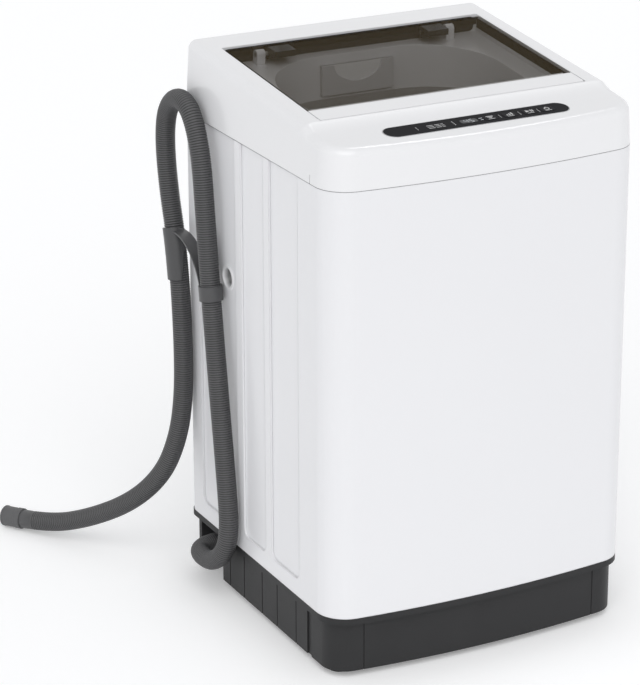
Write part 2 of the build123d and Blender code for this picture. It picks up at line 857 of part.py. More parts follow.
def make_hinge_blocks():
    """The two black hinge blocks inside the lid's rolled rear edge."""
    blocks = []
    radius = hinge_nose - window_thickness - seat_gap
    for side in sides:
        x = sorted((side * hinge_block_inner, side * hinge_block_outer))
        body = slope_pin(radius, x, hinge_line, -hinge_nose)
        body += slope_solid(x, (hinge_line - 2 * hinge_nose, hinge_line),
                            (-hinge_nose, -window_thickness))
        bore = slope_pin(hinge_pin_radius + running_gap, (x[0] - 1, x[1] + 1), hinge_line, -hinge_nose)
        blocks.append(body - bore)
    return Compound(children=blocks)


def make_hinge_pins():
    """The two pins the lid swings on, fixed in the cover's ears."""
    pins = []
    for side in sides:
        x = sorted((side * hinge_block_inner, side * hinge_ear_outer))
        pins.append(slope_pin(hinge_pin_radius - press_gap, x, hinge_line, -hinge_nose))
    return Compound(children=pins)


def make_lid_bumpers():
    """The soft stops on the ledge that the lid's front edge comes down on."""
    stops = []
    for side in sides:
        spot = Pos(side * bumper_place[0], bumper_place[1], -well_depth) * Circle(bumper_radius)
        stops.append(slope_plane(0) * extrude(spot, well_depth - strip_lip_depth - seat_gap))
    return Compound(children=stops)


def make_lid_sensor():
    """The lid sensor under the ledge, below the lid's front edge."""
    top = -well_depth - cover_wall
    x, y = lid_sensor_place
    return slope_solid((x - lid_sensor_size[0] / 2, x + lid_sensor_size[0] / 2),
                       (y - lid_sensor_size[1] / 2, y + lid_sensor_size[1] / 2),
                       (top - lid_sensor_size[2], top))


def make_drawer():
    """The detergent drawer: panel with a half-moon grip and an open tray."""
    half = drawer_half_width
    panel_back = drawer_front + drawer_panel
    drawer = block((-half, half), (drawer_front, panel_back), (drawer_bottom, drawer_bottom + drawer_height))
    tray_end = panel_back + drawer_length
    tray_top = drawer_bottom + drawer_tray_height
    drawer += block((-half, half), (panel_back - 1, tray_end), (drawer_bottom, tray_top))
    drawer -= block((-half + drawer_wall, half - drawer_wall), (panel_back, tray_end - drawer_wall),
                    (drawer_bottom + drawer_wall, drawer_bottom + drawer_height))
    width, height = drawer_grip
    grip = Pos(0, drawer_bottom + drawer_height) * scale(Circle(1), (width / 2, height, 1))
    return drawer - Pos(0, drawer_front + drawer_grip_depth, 0) * extrude(Plane.XZ * grip, drawer_panel)


def make_drawer_housing():
    """The box behind the mouth that the drawer slides in."""
    inner_x = drawer_half_width + drawer_side_gap
    low = drawer_bottom - sliding_gap
    high = drawer_bottom + drawer_height + drawer_side_gap
    end = drawer_front + drawer_panel + drawer_length + drawer_end_gap
    wall = drawer_wall
    box = block((-inner_x - wall, inner_x + wall), (drawer_seat, end + wall), (low - wall, high + wall))
    box -= block((-inner_x, inner_x), (drawer_seat - 1, end), (low, high))
    drain = (drawer_seat + drawer_drain[0], drawer_seat + drawer_drain[1])
    return box - block((-inner_x / 2, inner_x / 2), drain, (low - wall - 1, low + 1))


def make_inlet_valve():
    """The water inlet valve with its threaded connector in the rear bay."""
    x, z = inlet_place
    face = half_depth - inlet_bay_depth - cover_wall
    valve = block((x - valve_size[0] / 2, x + valve_size[0] / 2), (face - valve_size[1], face),
                  (z - valve_size[2] / 2, z + valve_size[2] / 2))
    valve += pin_along((0, 1, 0), inlet_thread_radius, (x, face - 1, z), inlet_thread_length + 1)
    start = (x, face - inlet_bore_depth, z)
    return valve - pin_along((0, 1, 0), inlet_bore, start, inlet_bore_depth + inlet_thread_length + 1)


def make_spout():
    """The tube that takes the water from the valve to the drawer housing."""
    start = inlet_place[0] + valve_size[0] / 2
    end = -drawer_half_width - drawer_side_gap - drawer_wall
    place = (start, half_depth - inlet_bay_depth - cover_wall - valve_size[1] / 2, inlet_place[1])
    tube = pin_along((1, 0, 0), spout_radius, place, end - start)
    inside = (start - 1, place[1], place[2])
    return tube - pin_along((1, 0, 0), spout_radius - spout_wall, inside, end - start + 2)


def make_level_sensor():
    """The water level sensor on its seat at the back."""
    x, z = sensor_place
    return pin_along((0, -1, 0), sensor_radius, (x, sensor_seat, z), sensor_thickness)


def make_hanger(x, y):
    """A steel bracket across one corner of the cabinet for a suspension rod."""
    side_x = x / abs(x)
    limits_x = sorted((x - side_x * hanger_reach / 2, side_x * press_inner))
    rear = rear_face - sheet - rear_cover_sheet - seat_gap
    limits_y = (y - hanger_reach / 2, rear) if y > 0 else (-half_depth, y + hanger_reach / 2)
    top = hanger_height + hanger_thickness
    plate = block(limits_x, limits_y, (hanger_height, top))
    plate &= prism(plan(sheet + bracket_gap, rear_step), hanger_height - 1, top + 1)
    return plate - post(rod_radius + rod_hole_gap, hanger_height - 1, top + 1, x, y)


def make_rod(x, y):
    """A suspension rod with its head on the bracket and its cap under the spring."""
    head = hanger_height + hanger_thickness
    rod = post(rod_radius, rod_bottom, head + 1, x, y)
    rod += post(rod_cap_radius, rod_bottom, rod_bottom + rod_cap_height, x, y)
    return rod + post(rod_head_radius, head, head + rod_head_radius, x, y)


def make_spring(x, y):
    """The space a suspension spring takes up, as a sleeve."""
    low = rod_bottom + rod_cap_height
    return sleeve(spring_radius, spring_radius - spring_wire, low, lug_bottom - cup_height, x, y)


def make_cup(x, y):
    """The cup between a spring and the tub's lug."""
    return sleeve(cup_radius, rod_radius + cup_gap, lug_bottom - cup_height, lug_bottom, x, y)


def make_lug(x, y):
    """An arm of the tub that reaches out to a suspension rod."""
    reach = hypot(x, y)
    arm = Pos(reach / 2, 0) * Rectangle(reach, 2 * lug_radius) + Pos(reach, 0) * Circle(lug_radius)
    arm = Rot(0, 0, degrees(atan2(y, x))) * arm
    lug = prism(arm, lug_bottom, lug_bottom + lug_thickness)
    return lug - post(rod_radius + lug_hole_gap, lug_bottom - 1, lug_bottom + lug_thickness + 1, x, y)


def bolt_spots():
    """Where the drive's bolts go: four through the gearbox flange, four through the plate."""
    ring = (gearbox_radius + gearbox_flange_radius) / 2
    seat = plate_bottom - gearbox_flange
    turns = [radians(angle) for angle in (45, 135, 225, 315)]
    spots = [(ring * cos(turn), ring * sin(turn), seat) for turn in turns]
    return spots + [(x, y, plate_bottom) for x, y in plate_bolts]


def bolt_holes():
    """The holes for the drive's bolts."""
    radius = bolt_radius + hole_gap
    return [post(radius, seat - 1, seat + bolt_grip + 1, x, y) for x, y, seat in bolt_spots()]


def make_bolts():
    """The bolts of the gearbox and of the support plate."""
    bolts = []
    for x, y, seat in bolt_spots():
        bolt = post(bolt_radius, seat - 1, seat + bolt_grip, x, y)
        bolts.append(bolt + post(bolt_head_radius, seat - bolt_head_height, seat, x, y))
    return Compound(children=bolts)


def make_tub():
    """The outer tub with its floor, suspension lugs and air trap."""
    tub = post(tub_radius, tub_bottom, tub_top)
    for x, y in corners:
        tub += make_lug(x * rod_place[0], y * rod_place[1])
    trap = Pos(tub_radius - tub_wall + trap_size[1] / 2, 0, trap_bottom + trap_size[2] / 2)
    tub += Rot(0, 0, trap_angle) * trap * Box(trap_size[1], trap_size[0], trap_size[2])
    tub -= post(tub_radius - tub_wall, tub_bottom + tub_floor, tub_top + 1)
    tub -= post(neck_radius + neck_gap, tub_bottom - 1, tub_bottom + tub_floor + 1)
    tub -= post(drain_radius, tub_bottom - 1, tub_bottom + tub_floor + 1, drain_place[0], drain_place[1])
    return tub - bolt_holes()


def make_tub_ring():
    """The splash ring on top of the tub."""
    outer = tub_radius + tub_ring_overhang
    ring = sleeve(outer, tub_ring_inner, tub_top, tub_top + tub_ring_thickness)
    return ring + sleeve(outer, tub_radius + seat_gap, tub_top - tub_ring_skirt, tub_top + 1)


def make_basket():
    """The pierced steel wall of the wash basket."""
    wall = sleeve(basket_radius, basket_radius - basket_sheet, basket_bottom, basket_top)
    holes = []
    step = (basket_top - basket_floor_top) / (basket_hole_rows + 1)
    for row in range(basket_hole_rows):
        z = basket_floor_top + step * (row + 1)
        for column in range(basket_hole_columns):
            turn = radians(360 / basket_hole_columns * (column + 0.5 * (row % 2)))
            out = (cos(turn), sin(turn), 0)
            start = (out[0] * (basket_radius - 10), out[1] * (basket_radius - 10), z)
            holes.append(pin_along(out, basket_hole_radius, start, 20))
    return wall - holes


def make_balance_ring():
    """The balance ring on the rim of the basket."""
    ring = sleeve(balance_outer, balance_inner, basket_top, basket_top + balance_height)
    return fillet(ring.edges().group_by(Axis.Z)[-1], balance_round)


def make_basket_base():
    """The moulded floor of the basket."""
    inner = basket_radius - basket_sheet - wrap_gap
    base = sleeve(inner, basket_hub_opening, basket_floor_bottom, basket_floor_top)
    vents = []
    for column in range(basket_hole_columns):
        turn = radians(360 / basket_hole_columns * column)
        radius = (pulsator_radius + inner) / 2
        vents.append(post(2 * basket_hole_radius, basket_floor_bottom - 1, basket_floor_top + 1,
                          radius * cos(turn), radius * sin(turn)))
    return base - vents


def make_basket_flange():
    """The three-armed metal flange that carries the basket on the spin tube."""
    flange = post(flange_hub_radius, seal_top + flange_lift, basket_floor_bottom)
    for turn in (90, 210, 330):
        arm = Pos(flange_arm_length / 2, 0) * Rectangle(flange_arm_length, flange_arm_width)
        flange += prism(Rot(0, 0, turn) * arm, basket_bottom, basket_floor_bottom)
    return flange - post(spin_radius + press_gap, seal_top, basket_floor_bottom + 1)


def make_filter():
    """The lint filter's case on the basket wall."""
    inner = basket_radius - basket_sheet - wrap_gap
    case = block((-filter_half_width, filter_half_width), (inner - filter_thickness, inner),
                 (filter_bottom, filter_bottom + filter_height))
    return case & post(inner, filter_bottom - 1, filter_bottom + filter_height + 1)


def make_pulsator():
    """The pulsator: round plate, raised hub and ridges."""
    top = pulsator_bottom + pulsator_plate
    plate = post(pulsator_radius, pulsator_bottom, top)
    plate = fillet(plate.edges().group_by(Axis.Z)[-1], pulsator_plate / 3)
    fin_top = top + pulsator_fin_height
    for index in range(pulsator_fin_count):
        long = pulsator_radius - pulsator_fin_inset
        half = pulsator_fin_width / 2
        fin = block((0, long), (-half, half), (pulsator_bottom + 1, fin_top))
        ridge = fin.edges().group_by(Axis.Z)[-1]
        fin = fillet([edge for edge in ridge if edge.center().X > 1], pulsator_fin_width / 3)
        plate += Rot(0, 0, 360 / pulsator_fin_count * index) * fin
    hub_top = fin_top + pulsator_hub_rise
    plate += post(pulsator_hub_radius, pulsator_bottom, hub_top)
    plate -= post(shaft_radius + press_gap, pulsator_bottom - 1, pulsator_bottom + shaft_reach)
    plate -= post(bolt_radius + hole_gap, pulsator_bottom, hub_top + 1)
    return plate - post(bolt_head_radius + bolt_head_gap, hub_top - bolt_head_height, hub_top + 1)


def make_pulsator_screw():
    """The screw that holds the pulsator on the wash shaft."""
    hub_top = pulsator_bottom + pulsator_plate + pulsator_fin_height + pulsator_hub_rise
    seat = hub_top - bolt_head_height
    shank = post(bolt_radius, pulsator_bottom + shaft_reach - pulsator_screw_depth, seat + 1)
    return shank + post(bolt_head_radius, seat, hub_top)


def make_wash_shaft():
    """The wash shaft from the pulley up to the pulsator."""
    top = pulsator_bottom + shaft_reach
    shaft = post(shaft_radius, pulley_bottom - nut_height, top)
    return shaft - post(bolt_radius + hole_gap, top - pulsator_screw_depth - stud_headroom, top + 1)


def make_spin_tube():
    """The hollow spin shaft that carries the basket."""
    return sleeve(spin_radius, shaft_radius + sliding_gap, pulley_top + spin_tube_lift, basket_floor_bottom)


def bearing_spots():
    """The lower ends of the two bearings in the gearbox housing."""
    return (gearbox_bottom, neck_top - bearing_width)


def make_bearings():
    """The two bearings of the spin tube."""
    inner = spin_radius + running_gap
    outer = bearing_radius - press_gap
    return Compound(children=[sleeve(outer, inner, z, z + bearing_width) for z in bearing_spots()])


def make_seal():
    """The water seal on top of the gearbox's neck."""
    return sleeve(neck_radius - seal_inset, spin_radius + running_gap, neck_top, seal_top)


def make_gearbox():
    """The cast housing of the drive under the tub."""
    flange_bottom = plate_bottom - gearbox_flange
    housing = post(gearbox_radius, gearbox_bottom, flange_bottom + 1)
    housing += post(gearbox_flange_radius, flange_bottom, plate_bottom)
    housing += post(neck_radius, plate_bottom - 1, neck_top)
    housing -= post(spin_radius + spin_gap, gearbox_bottom - 1, neck_top + 1)
    for z in bearing_spots():
        housing -= post(bearing_radius, z, z + bearing_width)
    return housing - bolt_holes()


def make_support_plate():
    """The steel plate between the drive and the tub."""
    outline = RectangleRounded(2 * plate_half[0], 2 * plate_half[1], plate_corner)
    plate = prism(outline, plate_bottom, tub_bottom)
    plate -= post(neck_radius + neck_gap, plate_bottom - 1, tub_bottom + 1)
    x, y = drain_place
    plate -= post(drain_radius + drain_hole_gap, plate_bottom - 1, tub_bottom + 1, x, y)
    return plate - bolt_holes()


def grooved_pulley(radius, rim, x, y):
    """A pulley's rim with a groove for the belt."""
    side = (pulley_height - belt_width) / 2 - sliding_gap
    body = post(radius, pulley_bottom, pulley_top, x, y)
    body += post(radius + rim, pulley_bottom, pulley_bottom + side, x, y)
    return body + post(radius + rim, pulley_top - side, pulley_top, x, y)


def make_driven_pulley():
    """The large pulley on the wash shaft, with a thin web."""
    pulley = grooved_pulley(pulley_radius, pulley_rim, 0, 0)
    web = ((pulley_bottom + pulley_top - pulley_web) / 2, (pulley_bottom + pulley_top + pulley_web) / 2)
    hollow = Circle(pulley_radius - pulley_tread) - Circle(2 * shaft_radius)
    pulley -= prism(hollow, pulley_bottom - 1, web[0])
    pulley -= prism(hollow, web[1], pulley_top + 1)
    return pulley - post(shaft_radius + press_gap, pulley_bottom - 1, pulley_top + 1)


def make_nut():
    """The nut that keeps the pulley on the shaft."""
    nut = prism(RegularPolygon(nut_radius, 6), pulley_bottom - nut_height, pulley_bottom)
    return nut - post(shaft_radius + press_gap, pulley_bottom - nut_height - 1, pulley_bottom + 1)


def belt_outline(grow):
    """The belt's path round both pulleys, as a face."""
    small = Pos(motor_place[0], motor_place[1]) * Circle(motor_pulley_radius + grow)
    return make_hull([Circle(pulley_radius + grow).edges(), small.edges()])


def make_belt():
    """The drive belt, one closed loop."""
    middle = (pulley_bottom + pulley_top) / 2
    face = belt_outline(sliding_gap + belt_thickness) - belt_outline(sliding_gap)
    return prism(face, middle - belt_width / 2, middle + belt_width / 2)


def make_motor():
    """The motor beside the gearbox."""
    bottom = plate_bottom - motor_height
    motor = post(motor_radius, bottom, plate_bottom, motor_place[0], motor_place[1])
    motor = fillet(motor.edges().group_by(Axis.Z)[0], motor_radius / 10)
    bore = motor_shaft_radius + running_gap
    return motor - post(bore, bottom - 1, bottom + motor_height / 3, motor_place[0], motor_place[1])


def make_motor_pulley():
    """The motor's small pulley and its shaft, one piece."""
    x, y = motor_place
    pulley = grooved_pulley(motor_pulley_radius, pulley_rim, x, y)
    return pulley + post(motor_shaft_radius, pulley_bottom, plate_bottom - motor_height * 0.75, x, y)


def drain_direction():
    """The level direction from the drain valve to the outlet's upright leg."""
    run = Vector(outlet_leg - drain_place[0], outlet_place - drain_place[1], 0)
    return run.normalized()


def drain_port(reach):
    """A point along the drain valve's side port."""
    z = plate_bottom - drain_port_drop
    return Vector(drain_place[0], drain_place[1], z) + drain_direction() * reach


def make_drain_valve():
    """The drain valve under the tub with its side port."""
    x, y = drain_place
    valve = post(drain_valve_radius, plate_bottom - drain_valve_height, plate_bottom, x, y)
    valve += post(drain_radius + drain_hole_gap - hole_gap, plate_bottom - 1, tub_bottom, x, y)
    valve += pin_along(drain_direction(), drain_port_radius, drain_port(0), drain_port_reach)
    sump = plate_bottom - drain_port_drop - drain_sump
    valve -= post(drain_radius - drain_spigot_wall, sump, tub_bottom + 1, x, y)
    bore = drain_port_radius - drain_port_wall
    return valve - pin_along(drain_direction(), bore, drain_port(0), drain_port_reach + 1)


def swept_tube(points, bend, outer, inner):
    """A round tube along a bent route."""
    path = FilletPolyline(*points, radius=bend)
    ring = Circle(outer) - Circle(inner)
    return sweep(Plane(path @ 0, z_dir=path % 0) * ring, path)


def make_bellows():
    """The soft tube between the drain valve and the outlet."""
    z = plate_bottom - drain_port_drop
    top = outlet_height + outlet_rise
    end = (outlet_leg, outlet_place, top - tube_overlap)
    route = [drain_port(drain_port_reach - tube_overlap), (outlet_leg, outlet_place, z), end]
    return swept_tube(route, 2 * bellows_radius, bellows_radius, drain_port_radius + seat_gap)


def make_outlet():
    """The elbow through the base that the drain hose is pushed on."""
    bay_inner = -half_width + hose_bay_depth
    wall_back = bay_inner + base_wall
    top = outlet_height + outlet_rise
    route = [
        (bay_inner - outlet_spigot, outlet_place, outlet_height),
        (outlet_leg, outlet_place, outlet_height),
        (outlet_leg, outlet_place, top),
    ]
    elbow = swept_tube(route, 1.6 * outlet_radius, outlet_radius, outlet_bore)
    inside = (outlet_radius + outlet_bore) / 2
    elbow += sleeve(drain_port_radius, inside, top - outlet_collar, top, outlet_leg, outlet_place)
    seat = (wall_back, outlet_place, outlet_height)
    flange = pin_along((1, 0, 0), outlet_flange, seat, outlet_flange_thickness)
    return elbow + (flange - pin_along((1, 0, 0), inside, seat, outlet_flange_thickness))


def make_pressure_tube():
    """The thin tube from the tub's air trap up to the level sensor."""
    out = tub_radius - tub_wall + trap_size[1] - trap_tube_inset
    foot = (out * cos(radians(trap_angle)), out * sin(radians(trap_angle)))
    x, z = sensor_place
    y = sensor_seat - sensor_thickness / 2
    top = z - sensor_radius - sliding_gap
    bottom = trap_bottom + trap_size[2]
    first, second = pressure_tube_drops
    route = [(x, y, top), (x, y, top - first), (foot[0], foot[1], top - second), (foot[0], foot[1], bottom)]
    inner = pressure_tube_radius - pressure_tube_wall
    return swept_tube(route, pressure_tube_bend, pressure_tube_radius, inner)


def hose_radii():
    """The bend radius at each inner point of the hose's route."""
    radii = []
    for before, here, after in zip(hose_route, hose_route[1:], hose_route[2:]):
        first = Vector(*here) - Vector(*before)
        second = Vector(*after) - Vector(*here)
        half_turn = radians(first.get_angle(second)) / 2
        radii.append(hose_bend_share * min(first.length, second.length) / tan(half_turn))
    return radii


def hose_path():
    """The hose's middle line: straight runs joined by arcs."""
    return FilletPolyline(*hose_route, radius=hose_radii())


def hose_planes(path, places):
    """Planes square to the hose at distances along it, their X axis carried along steadily."""
    planes = []
    side = Vector(0, 1, 0)
    for place in places:
        point = path.position_at(place, position_mode=PositionMode.LENGTH)
        ahead = path.tangent_at(place, position_mode=PositionMode.LENGTH)
        side = (side - ahead * side.dot(ahead)).normalized()
        planes.append(Plane(point, x_dir=side, z_dir=ahead))
    return planes


def make_hose():
    """The ribbed drain hose, one tube with its bore."""
    path = hose_path()
    length = path.length
    plain = 2 * hose_radius
    pitch = (length - 2 * plain) / hose_rib_count
    wave = ((0.0, hose_valley), (0.2, hose_radius), (0.6, hose_radius), (0.8, hose_valley))
    places, sizes = [0.0], [hose_radius - seat_gap]
    for rib in range(hose_rib_count):
        for share, radius in wave:
            places.append(plain + pitch * (rib + share))
            sizes.append(radius)
    places.append(length)
    sizes.append(hose_radius - seat_gap)
    planes = hose_planes(path, places)
    hose = loft([plane * Circle(size) for plane, size in zip(planes, sizes)], ruled=True)
    hose -= sweep(planes[0] * Circle(hose_bore), path)
    mean = (hose_radius + hose_valley) / 2
    print("hose radii", [round(radius) for radius in hose_radii()])
    plain_volume = pi * (mean ** 2 - hose_bore ** 2) * length
    print("hose length", round(length), "volume", round(hose.volume / plain_volume, 3))
    return hose


def hose_end():
    """The hose's end point and the direction it points in."""
    end = Vector(*hose_route[-1])
    return end, (end - Vector(*hose_route[-2])).normalized()


def make_cuff():
    """The plain rubber cuff on the hose's free end."""
    end, ahead = hose_end()
    start = end - ahead * cuff_overlap
    cuff = pin_along(ahead, cuff_radius, start, cuff_length)
    cuff -= pin_along(ahead, hose_radius + hole_gap, start - ahead, cuff_overlap + 1)
    return cuff - pin_along(ahead, cuff_bore, start, cuff_length + 5)


def hose_at_height(path, height, first, last):
    """A plane square to the hose where it passes a height, between two shares of its length."""
    shares = [first + (last - first) * step / 400 for step in range(401)]
    share = min(shares, key=lambda value: abs((path @ value).Z - height))
    ahead = path % share
    if ahead.Z < 0:
        ahead = ahead * -1
    return Plane(path @ share, x_dir=(1, 0, 0), z_dir=ahead)


def make_hook():
    """The hose hook: a band round the rising run, a curved arm and a tongue on the falling run."""
    path = hose_path()
    inner, outer = hose_radius + sliding_gap, hose_radius + sliding_gap + hook_wall
    top = hook_top_share
    band_plane = hose_at_height(path, hook_band_height, 0.1, top)
    ring = Pos(0, 0, -hook_band_width / 2) * (Circle(outer) - Circle(inner))
    hook = band_plane * extrude(ring, hook_band_width)
    half = (Circle(outer) - Circle(inner)) & Rot(0, 0, 225) * Pos(outer, 0) * Rectangle(2 * outer, 4 * outer)
    tall = hook_tongue_top - hook_tongue_bottom
    sections = []
    for step in range(hook_steps + 1):
        height = hook_tongue_bottom + tall * step / hook_steps
        sections.append(hose_at_height(path, height, top, 0.9) * half)
    tongue_plane = hose_at_height(path, hook_tongue_top, top, 0.9)
    facing = Plane(tongue_plane.origin, x_dir=(-1, 1, 0), z_dir=(1, 1, 0))
    crown = Pos(0, hook_crown_rise - tall) * RectangleRounded(2.2 * outer, 2 * tall, hook_crown_radius)
    hook += loft(sections, ruled=True) & facing * extrude(crown, 4 * outer, both=True)
    x = hose_route[8][0]
    start = (band_plane.origin.Y + inner + hook_wall / 2, hook_band_height)
    end = (tongue_plane.origin.Y - inner - hook_wall / 2, hook_tongue_top - 2)
    middle = (start[0] + (end[0] - start[0]) * 0.25, start[1] + (end[1] - start[1]) * 0.6)
    line = ThreePointArc(start, middle, end)
    points = [line @ (step / 10) for step in range(11)]
    tangents = [line % (step / 10) for step in range(11)]
    above = [(p.X - t.Y * hook_wall / 2, p.Y + t.X * hook_wall / 2) for p, t in zip(points, tangents)]
    below = [(p.X + t.Y * hook_wall / 2, p.Y - t.X * hook_wall / 2) for p, t in zip(points, tangents)]
    arm = Plane.YZ * Polygon(*above, *reversed(below), align=None)
    hook += Pos(x, 0, 0) * extrude(arm, hook_plate_width / 2, both=True)
    return hook


pieces = {
    "base": make_base(),
    "foot_front_left": make_foot(-front_foot[0], front_foot[1], foot_stud_length),
    "foot_front_right": make_foot(front_foot[0], front_foot[1], foot_stud_length),
    "feet_rear": make_rear_feet(),
    "cabinet": make_cabinet(),
    "transit_plug": make_transit_plug(),
    "rear_cover": make_rear_cover(),
    "rear_cover_screws": make_rear_screws(),
    "cord_gland": make_gland(),
    "top_cover": make_top_cover(),
    "control_strip": make_control_strip(),
    "display_window": make_display(),
    "key_program": make_key(key_places[0]),
    "key_water_level": make_key(key_places[1]),
    "key_start_pause": make_key(key_places[2]),
    "key_power": make_key(key_places[3]),
    "control_board": make_board(),
    "lid_window": make_lid_window(),
    "lid_front_strip": make_lid_strip(),
    "lid_hinge_blocks": make_hinge_blocks(),
    "lid_hinge_pins": make_hinge_pins(),
    "lid_bumpers": make_lid_bumpers(),
    "lid_sensor": make_lid_sensor(),
    "detergent_drawer": make_drawer(),
    "drawer_housing": make_drawer_housing(),
    "inlet_valve": make_inlet_valve(),
    "inlet_spout": make_spout(),
    "level_sensor": make_level_sensor(),
    "pressure_tube": make_pressure_tube(),
    "hanger_brackets": on_all_corners(make_hanger),
    "suspension_rods": on_all_corners(make_rod),
    "suspension_springs": on_all_corners(make_spring),
    "suspension_cups": on_all_corners(make_cup),
    "outer_tub": make_tub(),
    "tub_ring": make_tub_ring(),
    "wash_basket": make_basket(),
    "balance_ring": make_balance_ring(),
    "basket_base": make_basket_base(),
    "basket_flange": make_basket_flange(),
    "lint_filter": make_filter(),
    "pulsator": make_pulsator(),
    "pulsator_screw": make_pulsator_screw(),
    "wash_shaft": make_wash_shaft(),
    "spin_tube": make_spin_tube(),
    "bearings": make_bearings(),
    "shaft_seal": make_seal(),
    "gearbox_housing": make_gearbox(),
    "support_plate": make_support_plate(),
    "drive_bolts": make_bolts(),
    "driven_pulley": make_driven_pulley(),
    "pulley_nut": make_nut(),
    "drive_belt": make_belt(),
    "motor": make_motor(),
    "motor_pulley": make_motor_pulley(),
    "drain_valve": make_drain_valve(),
    "drain_bellows": make_bellows(),
    "outlet_elbow": make_outlet(),
    "drain_hose": make_hose(),
    "hose_end_cuff": make_cuff(),
    "hose_hook": make_hook(),
}

hinge = slope_plane(0).from_local_coords((0, hinge_line, -hinge_nose))
print("hinge", tuple(round(value, 3) for value in hinge))
print("key direction", tuple(round(value, 5) for value in console_plane(0).z_dir))
for name, shape in pieces.items():
    export_step(shape, f"parts/{name}.step")
    print(name, shape.is_valid, len(shape.solids()), round(shape.volume))
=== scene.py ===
# %% [markdown]
# # A compact top load washing machine
# The solids of the machine come from the CAD model and stay where they are.
# This lesson dresses them: a camera and a hose first, then finishes, then the small pieces that
# a drawing leaves out. Everything is in metres, +Z is up and the front of the machine faces -Y.

# %% Load the frame
import json
import math

import bmesh
import bpy
from mathutils import Matrix, Vector


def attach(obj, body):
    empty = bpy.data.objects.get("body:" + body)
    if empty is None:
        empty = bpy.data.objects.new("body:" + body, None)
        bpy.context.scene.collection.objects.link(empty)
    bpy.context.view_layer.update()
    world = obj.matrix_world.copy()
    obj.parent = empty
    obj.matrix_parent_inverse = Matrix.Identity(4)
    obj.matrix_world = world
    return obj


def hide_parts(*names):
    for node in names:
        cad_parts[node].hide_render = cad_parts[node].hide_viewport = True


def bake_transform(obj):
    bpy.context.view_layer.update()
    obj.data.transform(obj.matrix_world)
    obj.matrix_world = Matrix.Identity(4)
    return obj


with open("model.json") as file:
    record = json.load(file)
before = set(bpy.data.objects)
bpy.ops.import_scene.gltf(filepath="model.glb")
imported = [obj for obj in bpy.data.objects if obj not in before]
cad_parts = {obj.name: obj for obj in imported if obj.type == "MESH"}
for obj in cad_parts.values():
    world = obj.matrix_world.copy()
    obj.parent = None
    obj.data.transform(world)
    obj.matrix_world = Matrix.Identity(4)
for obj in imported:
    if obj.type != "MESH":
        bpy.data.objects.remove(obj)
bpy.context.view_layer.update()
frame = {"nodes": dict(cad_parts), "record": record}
nodes = frame["nodes"]
scene = bpy.context.scene

# %% [markdown]
# ## The camera
# The photographer stood to the left of the machine, a little above it, with a long lens.
# The focal length in pixels and the two angles were fitted to the cabinet's straight edges, so they
# are written as numbers. A matrix of right, up and back turns them into the camera's place.

# %% Camera
IMAGE_LONG_SIDE = 685
FOCAL_PIXELS = 2937.8
SENSOR_WIDTH = 36
FAR_CLIP = 100
CAMERA_AZIMUTH = math.radians(-27.369)
CAMERA_ELEVATION = math.radians(20.688)
CAMERA_ROLL = math.radians(-0.156)
CAMERA_PLACE = Vector((-1.7976, -3.2179, 1.7566))


def put_in_scene(name, data):
    """Makes an object of a mesh, curve, lamp or camera and links it to the scene."""
    thing = bpy.data.objects.new(name, data)
    scene.collection.objects.link(thing)
    return thing


camera_data = bpy.data.cameras.new("camera")
camera_data.sensor_width = SENSOR_WIDTH
camera_data.lens = FOCAL_PIXELS * SENSOR_WIDTH / IMAGE_LONG_SIDE
camera_data.clip_end = FAR_CLIP
camera = put_in_scene("camera", camera_data)
scene.camera = camera
back = Vector((
    math.sin(CAMERA_AZIMUTH) * math.cos(CAMERA_ELEVATION),
    -math.cos(CAMERA_AZIMUTH) * math.cos(CAMERA_ELEVATION),
    math.sin(CAMERA_ELEVATION),
))
level = Vector((math.cos(CAMERA_AZIMUTH), math.sin(CAMERA_AZIMUTH), 0))
upright = back.cross(level)
right = level * math.cos(CAMERA_ROLL) + upright * math.sin(CAMERA_ROLL)
up = upright * math.cos(CAMERA_ROLL) - level * math.sin(CAMERA_ROLL)
camera_turn = Matrix((right, up, back)).transposed().to_4x4()
camera.matrix_world = Matrix.Translation(CAMERA_PLACE) @ camera_turn
print("lens", round(camera_data.lens, 1), "mm")

# %% [markdown]
# ## Floor, backdrop and light
# A pale floor catches the soft shadow. The world is white to the camera and to reflections, and a
# plain grey to everything else, so the background is white without more light on the machine.
# One very wide lamp stands to the front left and above, like a studio's softbox. A small bright
# card behind shows only in the gloss, and draws the lines of light along rounded edges.

# %% Floor
FLOOR_HALF = 14.0
WHITE = (1, 1, 1, 1)
FLOOR_FINISH = {
    "Base Color": (0.90, 0.90, 0.90, 1), "Roughness": 0.9, "Specular IOR Level": 0.1,
    "Emission Color": WHITE, "Emission Strength": 0.22,
}


def shader_of(material):
    """The one shader of a finish."""
    return material.node_tree.nodes["Principled BSDF"]


def tune(material, settings):
    """Sets plain values on a finish's shader."""
    for socket, value in settings.items():
        shader_of(material).inputs[socket].default_value = value


floor_finish = bpy.data.materials.new("pale_floor")
floor_finish.use_nodes = True
tune(floor_finish, FLOOR_FINISH)
floor_mesh = bpy.data.meshes.new("floor")
bm = bmesh.new()
bmesh.ops.create_grid(bm, x_segments=1, y_segments=1, size=FLOOR_HALF)
bm.to_mesh(floor_mesh)
bm.free()
floor_mesh.materials.append(floor_finish)
put_in_scene("floor", floor_mesh)
print("floor", 2 * FLOOR_HALF, "m wide")

# %% World
SKY_COLOUR, SKY_STRENGTH = (0.97, 0.98, 1.0, 1), 0.62
SEEN_RAYS = ("Is Camera Ray", "Is Glossy Ray", "Is Transmission Ray")

